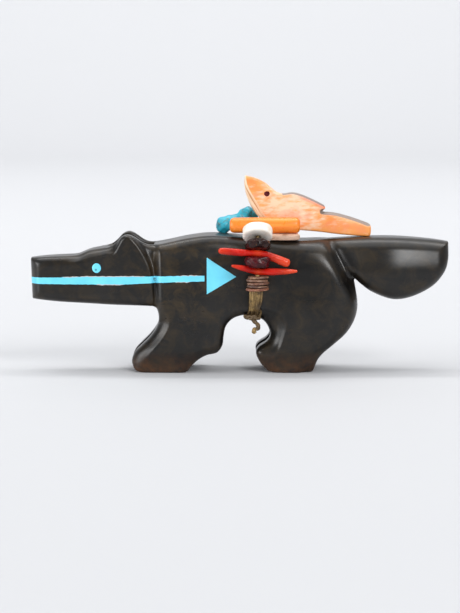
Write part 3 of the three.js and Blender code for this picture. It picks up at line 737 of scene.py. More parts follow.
def nugget_material():
    """Turquoise with thin dark veins and brown patches of matrix."""
    n = Nodes("matrix_turquoise")
    cloud = n.noise(2.2, 4.0, roughness=0.6)
    blues = (0.28, (0.008, 0.20, 0.28)), (0.5, (0.022, 0.36, 0.48)), (0.72, (0.065, 0.50, 0.63))
    base = n.ramp(cloud, *blues)
    bent = n.mix(0.12, n.mm, n.noise(1.2), "ADD")
    cells = n.add("TexVoronoi", {"Vector": bent, "Scale": 1 / 2.3}, feature="DISTANCE_TO_EDGE")
    broken = n.fade(n.noise(1.7), 0.50, 0.60)
    vein = n.times(n.fade(cells.outputs["Distance"], 0.01, 0.04, 0.75, 0.0), broken)
    base = n.mix(vein, base, (0.022, 0.018, 0.010))
    patch = n.fade(n.noise(1.5, 4.0, roughness=0.7), 0.60, 0.68)
    waist = n.near((-1.4, 4.5, 30.6), 2.6)
    patch = n.plus(patch, n.times(waist, broken), True)
    base = n.mix(n.times(patch, 0.75), base, (0.22, 0.15, 0.035))
    rough = n.mix(patch, 0.34, 0.6)
    n.bump(n.math("SUBTRACT", n.noise(0.7, 4.0), n.times(vein, 0.8)), 0.4, 0.12)
    return n.finish(Base_Color=base, Roughness=rough)


def bird_material():
    """Orange shell: a pale mottled wing, warm lower edge, grey skin on top and a ribbed breast."""
    n = Nodes("orange_shell")
    flow = n.stretched((0.5, 0.8, 1.2), rotation=(0, 0.35, 0))
    base = n.ramp(
        n.noise(3.0, 4.0, vector=flow, distortion=0.5),
        (0.28, (0.91, 0.235, 0.060)),
        (0.45, (0.94, 0.33, 0.085)),
        (0.60, (0.95, 0.42, 0.150)),
        (0.78, (0.96, 0.54, 0.28)),
    )
    flow = n.stretched((0.45, 1, 1.3), rotation=(0, -0.6, 0))
    fine = n.noise(0.9, 4.0, vector=flow, roughness=0.55)
    wing = n.near((9.8, 1.0, 32.2), 9.0)
    pale = n.times(n.fade(n.plus(fine, n.times(wing, 0.36)), 0.54, 0.80), 0.85)
    base = n.mix(pale, base, (0.96, 0.68, 0.49))
    cloud = n.noise(2.6, vector=n.stretched((0.7, 1, 1), location=(9, 0, 0)))
    base = n.mix(n.fade(cloud, 0.53, 0.68, 0.0, 0.6), base, (0.92, 0.26, 0.14))
    low = n.falling(n.math("SUBTRACT", n.height(), 26.4), 3.2)
    base = n.mix(n.times(low, 0.75), base, (0.96, 0.36, 0.07))
    base = n.mix(n.times(n.attribute("blush"), 0.7), base, (0.91, 0.22, 0.13))
    base = n.mix(n.attribute("skin"), base, (0.25, 0.19, 0.155))
    depth = n.times(n.attribute("breast_depth"), 3.2)
    where = n.add("CombineXYZ", {"X": depth, "Y": n.times(n.height(), 0.22)}).outputs[0]
    bands = n.ramp(
        n.noise(1.0, vector=where),
        (0.34, (0.50, 0.25, 0.11)),
        (0.46, (0.84, 0.56, 0.34)),
        (0.6, (0.93, 0.75, 0.55)),
    )
    base = n.mix(n.attribute("breast"), base, bands)
    rough = n.uneven(1.2, 0.28, 0.42)
    n.bump(n.plus(fine, n.noise(0.8)), 0.16, 0.05)
    return n.finish(Base_Color=base, Roughness=rough)


def tube_material():
    """Glossy orange with faint streaks along the bead."""
    n = Nodes("orange_bead")
    streak = n.noise(0.8, vector=n.stretched((0.06, 1, 1)))
    oranges = (0.3, (0.86, 0.17, 0.014)), (0.5, (0.93, 0.24, 0.022)), (0.75, (0.96, 0.36, 0.06))
    base = n.ramp(streak, *oranges)
    specks = n.fade(n.noise(0.9, 4.0, roughness=0.7), 0.62, 0.78, 0.0, 0.5)
    base = n.mix(specks, base, (0.93, 0.45, 0.14))
    n.bump(n.noise(0.4, vector=n.stretched((0.15, 1, 1))), 0.1, 0.04)
    rough = n.uneven(1.2, 0.24, 0.34)
    return n.finish(Base_Color=base, Roughness=rough)


def slab_material():
    """Pinkish shell in uneven layers."""
    n = Nodes("pink_shell")
    flow = n.stretched((0.45, 0.45, 1.7), rotation=(0, 0.55, 0.2))
    layers = n.noise(1.5, 4.0, vector=flow, distortion=0.8)
    base = n.ramp(
        layers,
        (0.34, (0.38, 0.20, 0.12)),
        (0.44, (0.60, 0.40, 0.29)),
        (0.56, (0.72, 0.49, 0.36)),
        (0.7, (0.82, 0.64, 0.50)),
    )
    n.bump(n.plus(layers, n.noise(0.4)), 0.3, 0.07)
    return n.finish(Base_Color=base, Roughness=0.42)


def white_material():
    """Creamy white shell with faint layers across the bead."""
    n = Nodes("white_shell")
    cloud = n.noise(1.6, 4.0, roughness=0.6)
    creams = (0.3, (0.80, 0.70, 0.58)), (0.5, (0.88, 0.82, 0.74)), (0.7, (0.92, 0.89, 0.84))
    base = n.ramp(cloud, *creams)
    layer = n.noise(0.6, vector=n.stretched((0.3, 0.3, 2.2)))
    base = n.mix(n.fade(layer, 0.6, 0.8, 0.0, 0.35), base, (0.76, 0.62, 0.48))
    n.bump(n.plus(layer, n.noise(0.35, 4.0)), 0.3, 0.07)
    return n.finish(Base_Color=base, Roughness=0.45)


def garnet_material(name, dark, mid, brown):
    """Dark faceted stone with brown flecks and a glassy coat; on the dark bead the flecks are
    bright brown-gold painted glints.
    """
    n = Nodes(name)
    base = n.fade(n.noise(1.1, 4.0, roughness=0.65), 0.35, 0.7, dark, mid)
    # the brown flecks; where their colour is bright, as on the dark bead, they are painted glints
    base = n.mix(n.fade(n.noise(0.55, 4.0, roughness=0.7), 0.58, 0.70, 0.0, 0.8), base, brown)
    rough = n.fade(n.noise(0.6), 0.35, 0.7, 0.14, 0.42)
    n.bump(n.noise(0.5, 4.0), 0.5, 0.16)
    return n.finish(
        Base_Color=base, Roughness=rough, IOR=1.33, Coat_Weight=0.08, Coat_Roughness=0.08
    )


def coral_material():
    """Red coral, more orange at its ends, with a painted highlight where the string comes out."""
    n = Nodes("red_coral")
    ends = n.attribute("ends")
    cloud = n.noise(1.6, vector=n.stretched((0.5, 1, 1)))
    reds = (0.3, (0.34, 0.004, 0.002)), (0.55, (0.48, 0.007, 0.003)), (0.75, (0.60, 0.018, 0.006))
    base = n.ramp(cloud, *reds)
    # the ends attribute holds the coral's orange tips and a painted highlight on the collar round
    # the string
    base = n.mix(n.times(ends, 0.75), base, (0.74, 0.075, 0.020))
    n.bump(n.noise(0.5, 4.0, vector=n.stretched((0.2, 1, 1))), 0.14, 0.05)
    rough = n.uneven(1.0, 0.18, 0.30)
    return n.finish(
        Base_Color=base, Roughness=rough, IOR=1.33, Coat_Weight=0.05, Coat_Roughness=0.08
    )


def disc_material(name, dark, light):
    """Brown shell in thin layers."""
    n = Nodes(name)
    cloud = n.noise(0.8, 4.0, roughness=0.7)
    layer = n.noise(0.16, 2.0, vector=n.stretched((0.15, 0.15, 1)))
    value = n.plus(n.times(cloud, 0.6), n.times(layer, 0.4))
    base = n.ramp(value, (0.36, dark), (0.52, light), (0.66, (0.42, 0.26, 0.15)))
    n.bump(value, 0.5, 0.08)
    return n.finish(Base_Color=base, Roughness=0.48)


def sinew_material():
    """Waxed sinew: fine fibres along each strand, tan with dark stretches, and painted shade at the
    knot and where the wrap turns under the belly.
    """
    n = Nodes("sinew")
    across, along = n.attribute("turn"), n.attribute("along")
    lengthwise = {
        "X": n.times(across, 9.0),
        "Y": n.times(along, 0.35),
        "Z": n.attribute("strand"),
    }
    where = n.add("CombineXYZ", lengthwise).outputs[0]
    fibre = n.noise(0.625, 4.0, vector=where, roughness=0.6)
    base = n.ramp(
        fibre,
        (0.30, (0.060, 0.032, 0.010)),
        (0.44, (0.22, 0.130, 0.040)),
        (0.56, (0.42, 0.270, 0.090)),
        (0.72, (0.64, 0.47, 0.20)),
    )
    dark = n.fade(n.noise(1.9), 0.47, 0.62, 0.0, 0.8)
    # painted shade at the wrap's lower right, where it turns under the belly
    edge = n.fade(n.near((4.5, -6.2, 14.0), 2.9), 0.1, 0.55, 0.0, 0.9)
    dark = n.math("MAXIMUM", dark, edge)
    # painted shadow over the knot under the belly
    knot_shadow = n.fade(n.near((2.4, -4.9, 11.3), 2.6), 0.1, 0.45, 0.0, 0.8)
    dark = n.math("MAXIMUM", dark, knot_shadow)
    # dark holds the sinew's own random dark stretches together with the painted shade at the corner
    # and the knot
    base = n.mix(dark, base, (0.050, 0.028, 0.012))
    n.bump(fibre, 0.9, 0.10)
    rough = n.fade(fibre, 0.3, 0.7, 0.42, 0.62)
    return n.finish(Base_Color=base, Roughness=rough, Coat_Weight=0.2, Coat_Roughness=0.25)


piece("stone_body", stone_verts, stone_quads, "black_stone", stone_material(),
      name="stone_visual")

# ---- inlay

SHAFT_FRONT, SHAFT_END = -40.64, -6.95
SHAFT_LINE = [(-41.6, 18.15, 0.62), (-36.0, 18.2, 0.68), (-30.0, 18.32, 0.78),
              (-24.0, 18.45, 0.80), (-18.0, 18.68, 0.68), (-12.0, 18.88, 0.60),
              (-6.0, 19.0, 0.55)]  # x, middle, half height
SHAFT_ROWS = (-1, -0.92, -0.84, -0.6, -0.3, 0, 0.3, 0.6, 0.84, 0.92, 1)
ARROW_BACK, ARROW_TIP = -6.5, -0.7
ARROW_TOP, ARROW_BOTTOM, ARROW_MIDDLE = 23.1, 15.9, 19.3
EYE_X, EYE_Z, EYE_RADIUS = -28.4, 20.85, 0.95
UPPER_FILLER = [(-35.7, -18.3), (-12.9, -7.0)]  # stretches with pale filler along the strip
LOWER_FILLER = [(-29.0, -22.4), (-13.2, -9.0)]
INLAY_LIFT = 0.03
INLAY_DEPTH = 0.5
OUTSIDE = 14  # from here a ray going in meets the stone
turquoise = inlay_material()


def on_side(x, z, side, lift=INLAY_LIFT):
    """A point just off the stone at (x, z) on the given side, further off where it is steep."""
    start = Vector((x, side * OUTSIDE, z))
    hit, normal, _, _ = stone_tree.ray_cast(start, Vector((0, -side, 0)), OUTSIDE)
    return hit + normal * lift * (1 + 4 * (1 - abs(normal.y)))


def shaft_at(x):
    xs, mids, halves = zip(*SHAFT_LINE)
    return np.interp(x, xs, mids), np.interp(x, xs, halves)


def walled(rows, inward, *values):
    """A thin inlay from rows of surface points, with walls going in, and its points' values."""
    count, width = len(rows), len(rows[0])
    verts = [p for line in rows for p in line]
    faces = grid_faces(count, width)
    rim = list(range(width))
    rim += [i * width + width - 1 for i in range(1, count)]
    rim += [(count - 1) * width + j for j in range(width - 2, -1, -1)]
    rim += [i * width for i in range(count - 2, 0, -1)]
    start = len(verts)
    verts += [verts[i] + inward(verts[i]) for i in rim]
    for k, i in enumerate(rim):
        m = (k + 1) % len(rim)
        faces.append((i, rim[m], start + m, start + k))
    faces.append(tuple(start + k for k in range(len(rim))))
    return verts, faces, [list(v) + [v[i] for i in rim] for v in values]


def inlay_piece(node, rows, inward, edges, filled=None, sharp=82):
    """edges are 0 inside and 1 at the rim; filled is how much pale filler there is."""
    values = edges, filled or [0.0] * len(edges)
    verts, faces, (edges, filled) = walled(rows, inward, *values)
    obj = piece(node, *outward(verts, faces), "inlay_turquoise", turquoise, sharp)
    float_attribute(obj, "edge", edges)
    float_attribute(obj, "filled", filled)


def shaft_rows(side):
    """The strip's surface points with their edges and filler, row by row."""
    rows, edges, filled = [], [], []
    for x in np.linspace(SHAFT_FRONT, SHAFT_END, 280):
        middle, half = shaft_at(x)
        reach = []  # below and above the middle
        extra = []
        for k, stretches in enumerate((LOWER_FILLER, UPPER_FILLER)):
            seed = (3, 9)[k]
            ragged = 0.05 * noise(Vector((x * 0.9, side, seed)))
            ragged += 0.05 * noise(Vector((x * 3, side, seed)))
            amount = max(
                smoothstep(a, a + 1.5, x) * smoothstep(b, b - 1.5, x) for a, b in stretches
            )
            worn = 0.6 + 0.8 * noise(Vector((x * 1.3, side * 3, k * 5 + 1)))
            extra.append(amount * min(max(worn, 0.0), 1.0))
            reach.append(half + ragged + 0.17 * extra[k])
        line = []
        for v in SHAFT_ROWS:
            k = 1 if v > 0 else 0
            line.append(on_side(x, middle + v * reach[k], side))
            edges.append(abs(v))
            filled.append(extra[k] if abs(v) > 0.7 else 0.0)
        rows.append(line)
    return rows, edges, filled


def arrow_rows(side):
    """The arrowhead's surface points with their edges, row by row."""
    rows, edges = [], []
    for t in np.linspace(0, 1, 26):
        x = ARROW_BACK + t * (ARROW_TIP - ARROW_BACK)
        top = ARROW_TOP + t * (ARROW_MIDDLE - ARROW_TOP) + 0.02
        bottom = ARROW_BOTTOM + t * (ARROW_MIDDLE - ARROW_BOTTOM) - 0.02
        line = []
        for v in np.linspace(-1, 1, 21):
            line.append(on_side(x, (top + bottom) / 2 + v * (top - bottom) / 2, side))
            edges.append(0.7 if abs(v) == 1 else 0.0)
        rows.append(line)
    return rows, edges


def round_eye(side, rings=6, spokes=36):
    """A round inlay, a little uneven, that stands just proud of the stone."""
    verts = [on_side(EYE_X, EYE_Z, side, 2 * INLAY_LIFT)]
    for r in range(1, rings + 1):
        rise = INLAY_LIFT * (2 if r < rings else 0.6)
        for k in range(spokes):
            a = 2 * math.pi * k / spokes
            uneven = 1 + 0.04 * noise(Vector((math.cos(a) * 2, math.sin(a) * 2, side)))
            reach = EYE_RADIUS * r / rings * uneven
            x, z = EYE_X + reach * 0.93 * math.cos(a), EYE_Z + reach * math.sin(a)
            verts.append(on_side(x, z, side, rise))
    outer = 1 + (rings - 1) * spokes
    start = len(verts)
    verts += [v + Vector((0, -side * INLAY_DEPTH, 0)) for v in verts[outer:]]
    faces = []
    for k in range(spokes):
        m = (k + 1) % spokes
        faces.append((0, 1 + k, 1 + m))
        for a in range(1, start, spokes):
            b = a + spokes
            faces.append((a + k, b + k, b + m, a + m))
    faces.append(tuple(start + k for k in range(spokes)))
    return verts, faces


for side, prefix in ((-1, "left_"), (1, "right_")):
    def straight_in(p):
        return Vector((0, -side * INLAY_DEPTH, 0))

    rows, edges, filled = shaft_rows(side)
    inlay_piece(prefix + "heartline_shaft", rows, straight_in, edges, filled)
    rows, edges = arrow_rows(side)
    inlay_piece(prefix + "arrowhead", rows, straight_in, edges)

    verts, faces = outward(*round_eye(side))
    pit = Vector((EYE_X - 0.15, 0, EYE_Z - 0.35)) + SHIFT
    pit.y = (verts[0] + SHIFT).y
    eye_look = eye_inlay_material(tuple(pit))
    piece(prefix + "eye", verts, faces, "inlay_turquoise", eye_look, 40)

MOUTH_BACK = -40.62  # the strip on the side starts here
MOUTH_FRONT = -41.0
MOUTH_TURN = math.radians(54)
mouth_middle, mouth_half = shaft_at(MOUTH_FRONT)
mouth_centre = Vector((-38.0, 0, mouth_middle))
rows, edges = [], []
for angle in np.linspace(-MOUTH_TURN, MOUTH_TURN, 60):
    out = Vector((-math.cos(angle), math.sin(angle), 0))
    line = []
    for v in (-1, -0.85, -0.4, 0, 0.4, 0.85, 1):
        start = Vector((mouth_centre.x, 0, mouth_middle + v * mouth_half)) + out * OUTSIDE
        hit, _, _, _ = stone_tree.ray_cast(start, -out, OUTSIDE)
        if hit.x > MOUTH_BACK:
            line.append(on_side(MOUTH_BACK, start.z, math.copysign(1, hit.y)))
        else:
            line.append(hit + out * INLAY_LIFT)
        edges.append(abs(v))
    rows.append(line)


def towards_mouth_centre(p):
    return (mouth_centre - p).normalized() * INLAY_DEPTH


inlay_piece("mouth_inlay", rows, towards_mouth_centre, edges, sharp=65)

# ---- the bird

bird_low, bird_high = design_box("shell_bird")
BIRD_MIDDLE = (bird_low.y + bird_high.y) / 2
BIRD_HALF = (bird_high.y - bird_low.y) / 2
BIRD_OUTLINE = (
    [(1.1, 38.95), (3.3, 38.4), (5.1, 37.5), (6.2, 36.6), (7.2, 35.8), (8.2, 35.35), (9.2, 35.35),
     (10.6, 35.55), (12.2, 35.2), (14.4, 34.3), (16.9, 33.05)],
    [(16.9, 33.05), (17.15, 32.5), (16.5, 31.75)],
    [(16.5, 31.75), (19.4, 31.45), (22.8, 30.5), (25.7, 29.45)],
    [(25.7, 29.45), (26.25, 28.9), (26.25, 27.3), (25.9, 26.8)],
    [(25.9, 26.8), (22.8, 26.98), (19.0, 27.35), (15.1, 27.85), (9.0, 28.3), (5.6, 28.5)],
    [(5.6, 28.5), (4.2, 30.3), (3.2, 31.4), (2.1, 33.2), (1.4, 35.0), (1.02, 36.7), (0.95, 38.2)],
)
WING_TOP = [(8.8, 35.4), (10.6, 35.6), (12.2, 35.2), (14.4, 34.3), (16.9, 33.1)]
TAIL_TOP = [(16.6, 31.75), (19.4, 31.45), (22.8, 30.5), (25.8, 29.4)]
TAIL_CUT = [(16.6, 31.8), (13.5, 31.9), (11.0, 31.4)]
BREAST_LINE = [(1.3, 39.4), (1.5, 37.6), (2.0, 36.2), (2.9, 34.6), (4.0, 32.9), (5.0, 31.2),
               (6.4, 29.4), (7.4, 28.0)]
BREAST_BEVEL = 0.62  # how much narrower the breast gets for each millimetre

bird_map = SideMap((0.0, 25.8), (27.6, 39.8), 0.1)
bird_distance = bird_map.inside(joined(BIRD_OUTLINE))
to_breast, _ = bird_map.right_of(BREAST_LINE)  # positive on the side of the breast's edge
to_cut, to_wing_top, to_tail_top = (
    np.abs(bird_map.right_of(line)[0]) for line in (TAIL_CUT, WING_TOP, TAIL_TOP)
)
bird_width = BIRD_HALF - BREAST_BEVEL * np.clip(to_breast, 0, 2.2)
bird_width = bird_width - 0.10 * smoothstep(0.6, 0.0, to_cut)
bird_width = bird_width - 0.25 * smoothstep(15.5, 17.5, bird_map.x)
bird_width = bird_width - np.clip(0.4 - to_wing_top, 0, 0.4)
bird_width = bird_width - 1.1 * np.clip(0.62 - to_tail_top, 0, 0.62)


def bird_field(x, y, z):
    """Signed distance, roughly, to the bird."""
    side = np.abs(y - BIRD_MIDDLE)
    width = bird_map.sample(bird_width, x, z)
    return rounded_and(bird_map.sample(bird_distance, x, z), side - width, 0.32)


BIRD_STEP = 0.2
bird_verts, bird_quads = carved(
    bird_field,
    (0.3, BIRD_MIDDLE - 2.3, 26.1),
    (27.3, BIRD_MIDDLE + 2.3, 39.5),
    BIRD_STEP,
    2,
)
bird = piece("shell_bird", bird_verts, bird_quads, "orange_shell", bird_material(),
             name="bird_visual")
bird_x = bird_verts[:, 0]
breast_depth, wing_reach, tail_reach = (
    bird_map.sample(values, bird_x, bird_verts[:, 2])
    for values in (to_breast, to_wing_top, to_tail_top)
)
skin = np.maximum(smoothstep(0.42, 0.25, wing_reach), smoothstep(0.66, 0.45, tail_reach))
float_attribute(bird, "breast", smoothstep(-0.05, 0.1, breast_depth))
float_attribute(bird, "breast_depth", breast_depth)
float_attribute(bird, "skin", skin)
float_attribute(bird, "blush", smoothstep(1.0, 0.5, wing_reach) * smoothstep(11.0, 13.0, bird_x))

EYE_SIDES = 7
bird_eye_look = garnet_material(
    "bird_eye", (0.045, 0.002, 0.004), (0.13, 0.006, 0.010), (0.01, 0.002, 0.002)
)
for side, node in ((-1, "bird_left_eye"), (1, "bird_right_eye")):
    eye_low, eye_high = design_box(node)
    centre = (eye_low + eye_high) / 2 + Vector((-0.05, 0, 0.2))
    centre.y = BIRD_MIDDLE + side * BIRD_HALF
    rng = random.Random(5 + side)
    ring = []
    for k in range(EYE_SIDES):
        r = 0.60 * (1 + rng.uniform(-0.14, 0.1))
        a = 2 * math.pi * k / EYE_SIDES + rng.uniform(-0.15, 0.15)
        ring.append(Vector((r * math.cos(a), 0, r * math.sin(a))))
    verts = []
    for out, size in ((-0.4, 1.0), (0.06, 1.0), (0.17, 0.62)):
        verts += [centre + p * size + Vector((0, side * out, 0)) for p in ring]
    faces = grid_faces(3, EYE_SIDES, closed=True)
    faces += [tuple(range(EYE_SIDES)), tuple(range(3 * EYE_SIDES - 1, 2 * EYE_SIDES - 1, -1))]
    piece(node, *outward(verts, faces), "dark_bead", bird_eye_look, 15)

# ---- tube bead, nugget and slab

TUBE_BORE = 0.55
TUBE_EDGE = 0.95  # radius of its rounded ends
tube_low, tube_high = design_box("tube_bead")
tube_radius = (tube_high.z - tube_low.z) / 2
tube_length = tube_high.x - tube_low.x
round_end = [
    (tube_radius - TUBE_EDGE + TUBE_EDGE * math.sin(a), TUBE_EDGE - TUBE_EDGE * math.cos(a))
    for a in np.linspace(0, math.pi / 2, 8)
]
profile = [(TUBE_BORE, 0.12), (TUBE_BORE + 0.12, 0.0)] + [(r * 0.94, h) for r, h in round_end]
profile += [
    (tube_radius * size, tube_length * t)
    for size, t in ((0.945, 0.2), (0.965, 0.4), (0.985, 0.6), (1.0, 0.8))
]
profile += [(r, tube_length - h) for r, h in reversed(round_end)]
profile += [(TUBE_BORE + 0.12, tube_length), (TUBE_BORE, tube_length - 0.12)]
verts, faces = lathe(profile, 48, lambda a, r, h: 1 + 0.012 * math.sin(2 * a + 0.4 * h))
middle = (tube_low + tube_high) / 2
verts = [Vector((h + tube_low.x, middle.y + y, middle.z - x)) for x, y, h in verts]
piece("tube_bead", *outward(verts, faces), "orange_bead", tube_material())

NUGGET_LOBES = (  # middle and half sizes
    ((-3.05, 4.5, 28.75), (1.75, 1.75, 1.75)),
    ((-0.9, 4.6, 29.5), (1.5, 1.6, 1.45)),
    ((1.75, 4.6, 30.45), (2.0, 1.75, 1.95)),
)


def nugget_field(x, y, z):
    """Signed distance, roughly, to three lobes grown together, with lumps."""
    total = None
    for (mx, my, mz), (sx, sy, sz) in NUGGET_LOBES:
        far = np.sqrt(((x - mx) / sx) ** 2 + ((y - my) / sy) ** 2 + ((z - mz) / sz) ** 2)
        lobe = (far - 1) * min(sx, sy, sz)
        total = lobe if total is None else -rounded_and(-total, -lobe, 0.9)
    lumps = 0.16 * np.sin(1.9 * x + 1.2 * z + 0.6) * np.cos(1.7 * z - 1.3 * y)
    return total + lumps + 0.05 * np.sin(4.3 * x - 3.1 * z + 2 * y)


verts, faces = carved(nugget_field, (-5.6, 2.0, 26.2), (4.38, 6.98, 32.98), 0.22, 2)
piece("turquoise_nugget", verts, faces, "matrix_turquoise", nugget_material(),
      name="nugget_visual")

SLAB_OUTLINE = [(0.05, 0.06), (0.62, 0.0), (0.98, 0.12), (1.0, 0.35), (0.92, 0.86), (0.42, 1.0),
                (0.04, 0.84), (0.0, 0.4)]  # shares of its length and width
SLAB_LEVELS = ((0.07, 0.0), (0.015, 0.14), (0.0, 0.4), (0.01, 0.75), (0.05, 0.95), (0.10, 1.0))
slab_low, slab_high = design_box("shell_slab")
slab_size = slab_high - slab_low
slab_middle = np.array((0.5, 0.48))
outline = catmull([SLAB_OUTLINE[-1]] + SLAB_OUTLINE + [SLAB_OUTLINE[0]], 5)[5:-6]
verts = []
for inset, level in SLAB_LEVELS:
    for k, p in enumerate(outline):
        u, v = slab_middle + (p - slab_middle) * (1 - 2 * inset)
        rough = 0.10 * noise(Vector((k * 0.35, level * 3, 2.0)))
        droop = 0.10 * noise(Vector((u * 3, v * 3, 5.0)))
        x = slab_low.x + slab_size.x * u + rough * 0.6
        z = slab_low.z + slab_size.z * level + (droop if level > 0.5 else 0)
        verts.append(Vector((x, slab_low.y + slab_size.y * v, z)))
around = len(outline)
faces = grid_faces(len(SLAB_LEVELS), around, closed=True)
faces += [tuple(range(around)), tuple(range(5 * around, 6 * around))]
verts, faces = outward(verts, faces)
piece("shell_slab", verts, faces, "pink_shell", slab_material(), 35, name="slab_visual")

# ---- beads on the string

BORE = 0.62


def barrel(radius, length, edge):
    """A closed profile with rounded rims and a small bevel round the bore."""
    h = length / 2
    arc = np.linspace(0, math.pi / 2, 7)
    profile = [(BORE, -h + 0.15), (BORE + 0.15, -h)]
    profile += [(radius - edge + edge * math.sin(a), -h + edge - edge * math.cos(a)) for a in arc]
    profile += [(radius - edge + edge * math.cos(a), h - edge + edge * math.sin(a)) for a in arc]
    profile += [(BORE + 0.15, h), (BORE, h - 0.15)]
    return profile


def chipped(seed, amount):
    def radial(a, r, h):
        if r < BORE + 0.3:
            return 1.0
        p = Vector((math.cos(a) * 1.6, math.sin(a) * 1.6, h * 0.9 + seed))
        return 1 + amount * noise(p) + 0.4 * amount * noise(p * 3.1)

    return radial


verts, faces = outward(*lathe(barrel(2.95, 2.26, 0.45), 72, chipped(1.0, 0.04)))
verts = leaning("white_bead_turn", placed_on("white_bead_turn", verts), -0.10)
piece("white_bead", verts, faces, "white_shell", white_material(), body="white_bead")

# the dark bead's brown-gold flecks are painted glints
bead_dark = garnet_material(
    "dark_bead", (0.006, 0.002, 0.002), (0.034, 0.008, 0.006), (0.20, 0.080, 0.026)
)
bead_garnet = garnet_material(
    "garnet", (0.022, 0.0014, 0.003), (0.095, 0.006, 0.010), (0.14, 0.018, 0.012)
)


def faceted_bead(node, radius, length, rise, dome, seed, slot, material):
    """A chunky faceted bead, moved up the string by its rise; a larger dome rounds its top more."""
    steepest = 1.2
    profile = [(BORE, -0.42), (BORE + 0.2, -0.5)]
    for a in np.linspace(-steepest, steepest, 19):
        height = 0.5 * math.sin(a) / 0.932  # 0.932 is the sine of the steepest angle
        profile.append((radius * math.cos(a) ** (dome if a > 0 else 0.34), height))
    profile += [(BORE + 0.2, 0.5), (BORE, 0.42)]
    verts, faces = outward(*lathe([(r, h * length) for r, h in profile], 64))
    in_bore = [math.hypot(x, y) < BORE + 0.05 for x, y, _ in verts]
    cut = faceted(verts, 120, seed, 0.065, (1, 1, 1.5))
    cut = [Vector(v if bore else c) for v, c, bore in zip(verts, cut, in_bore)]
    cut = [v + Vector((0, 0, rise)) for v in cut]
    piece(node, placed_on(node + "_turn", cut), faces, slot, material, 14, body=node)


faceted_bead("dark_bead", 2.68, 2.17, 0.09, 0.5, 21, "dark_bead", bead_dark)
faceted_bead("garnet_bead", 2.78, 2.25, 0.62, 0.34, 8, "garnet", bead_garnet)

CORAL_SIDES = 22
coral_look = coral_material()


def coral(which, route, radii, seed):
    """A tapering stick of coral; radii are given at equal shares of its length."""
    length = curve_length(route)
    ends, sizes = rounded_ends(length, radii[0])
    shares = np.concatenate([ends[:5], np.linspace(ends[4], ends[5], 40)[1:-1], ends[5:]])
    factors = np.concatenate([sizes[:5], np.ones(38), sizes[5:]])
    base = np.interp(shares, np.linspace(0, 1, len(radii)), radii)
    points = along_curve(route, shares)
    string_share = shares[np.argmin(np.abs(points[:, 0]))]
    collar = 1 + 0.10 * np.exp(-(((shares - string_share) * length / 0.9) ** 2))
    verts, faces = outward(*tube(points, base * factors * collar, CORAL_SIDES, 0.06, seed))
    verts = placed_on(which + "_coral_swing", verts)
    obj = piece("coral_branch_" + which, verts, faces, "red_coral", coral_look,
                body=which + "_coral")
    # the orange tips are the coral's own colour; the share round the string is a painted highlight
    # on the collar
    tips = smoothstep(0.25, 0.0, shares) * 0.5 + smoothstep(0.6, 1.0, shares)
    painted_highlight = np.exp(-(((shares - string_share) * length / 0.8) ** 2))
    float_attribute(obj, "ends", np.repeat(np.clip(tips + 0.6 * painted_highlight, 0, 1), CORAL_SIDES))


coral("upper",
      [(-7.75, -0.1, 1.0), (-5.6, -0.1, 0.86), (-3.4, -0.1, 0.64), (0, -0.1, 0.5),
       (1.6, -0.15, 0.2), (3.2, -0.2, -0.4), (5.0, -0.2, -1.1), (6.3, -0.1, -1.6)],
      [0.62, 0.70, 0.68, 0.64, 0.66, 0.74, 0.82, 0.84], 3)
coral("lower",
      [(-5.2, -0.1, 1.47), (-3.6, -0.08, 1.13), (-2.0, -0.04, 0.77), (0, 0, 0.35),
       (1.85, -0.05, 0.25), (5.0, -0.1, 0.3), (7.8, -0.1, 0.37)],
      [0.22, 0.54, 0.66, 0.68, 0.70, 0.66, 0.54, 0.22], 5)

DISC_LOOKS = (  # dark and light
    ((0.045, 0.018, 0.010), (0.17, 0.080, 0.048)),
    ((0.055, 0.020, 0.011), (0.20, 0.100, 0.062)),
    ((0.050, 0.017, 0.009), (0.18, 0.075, 0.045)),
    ((0.025, 0.010, 0.007), (0.09, 0.036, 0.022)),
    ((0.090, 0.024, 0.012), (0.24, 0.080, 0.042)),
)
DISC_PROFILE = ((0.55, -1), (0.93, -1), (0.985, -0.7), (1, 0), (0.975, 0.7), (0.93, 1), (0.55, 1))
DISC_SHRINK = 0.89
for i, (dark, light) in enumerate(DISC_LOOKS, 1):
    node = f"heishi_{i}"
    disc_low, disc_high = design_box(node)
    radius = (disc_high.x - disc_low.x) / 2 * DISC_SHRINK
    half = (disc_high.z - disc_low.z) / 2
    profile = [(BORE, -half)] + [(radius * r, half * h) for r, h in DISC_PROFILE] + [(BORE, half)]
    verts, faces = outward(*lathe(profile, 72, chipped(i * 3.7, 0.06)))
    tilt = Matrix.Rotation(0.03 * (-1) ** i, 3, "Y")
    aside = Vector((0.12 * math.sin(i * 2.3), 0, 0.2))
    verts = placed_on(f"disc_{i}_turn", [tilt @ Vector(v) + aside for v in verts])
    look = disc_material(node, dark, light)
    piece(node, verts, faces, "brown_shell", look, 40, body=f"disc_{i}")

# ---- sinew

STRING_X = 3.55
BAND_STRANDS = 6
sinew_parts, sinew_values = [], {"turn": [], "along": [], "strand": []}


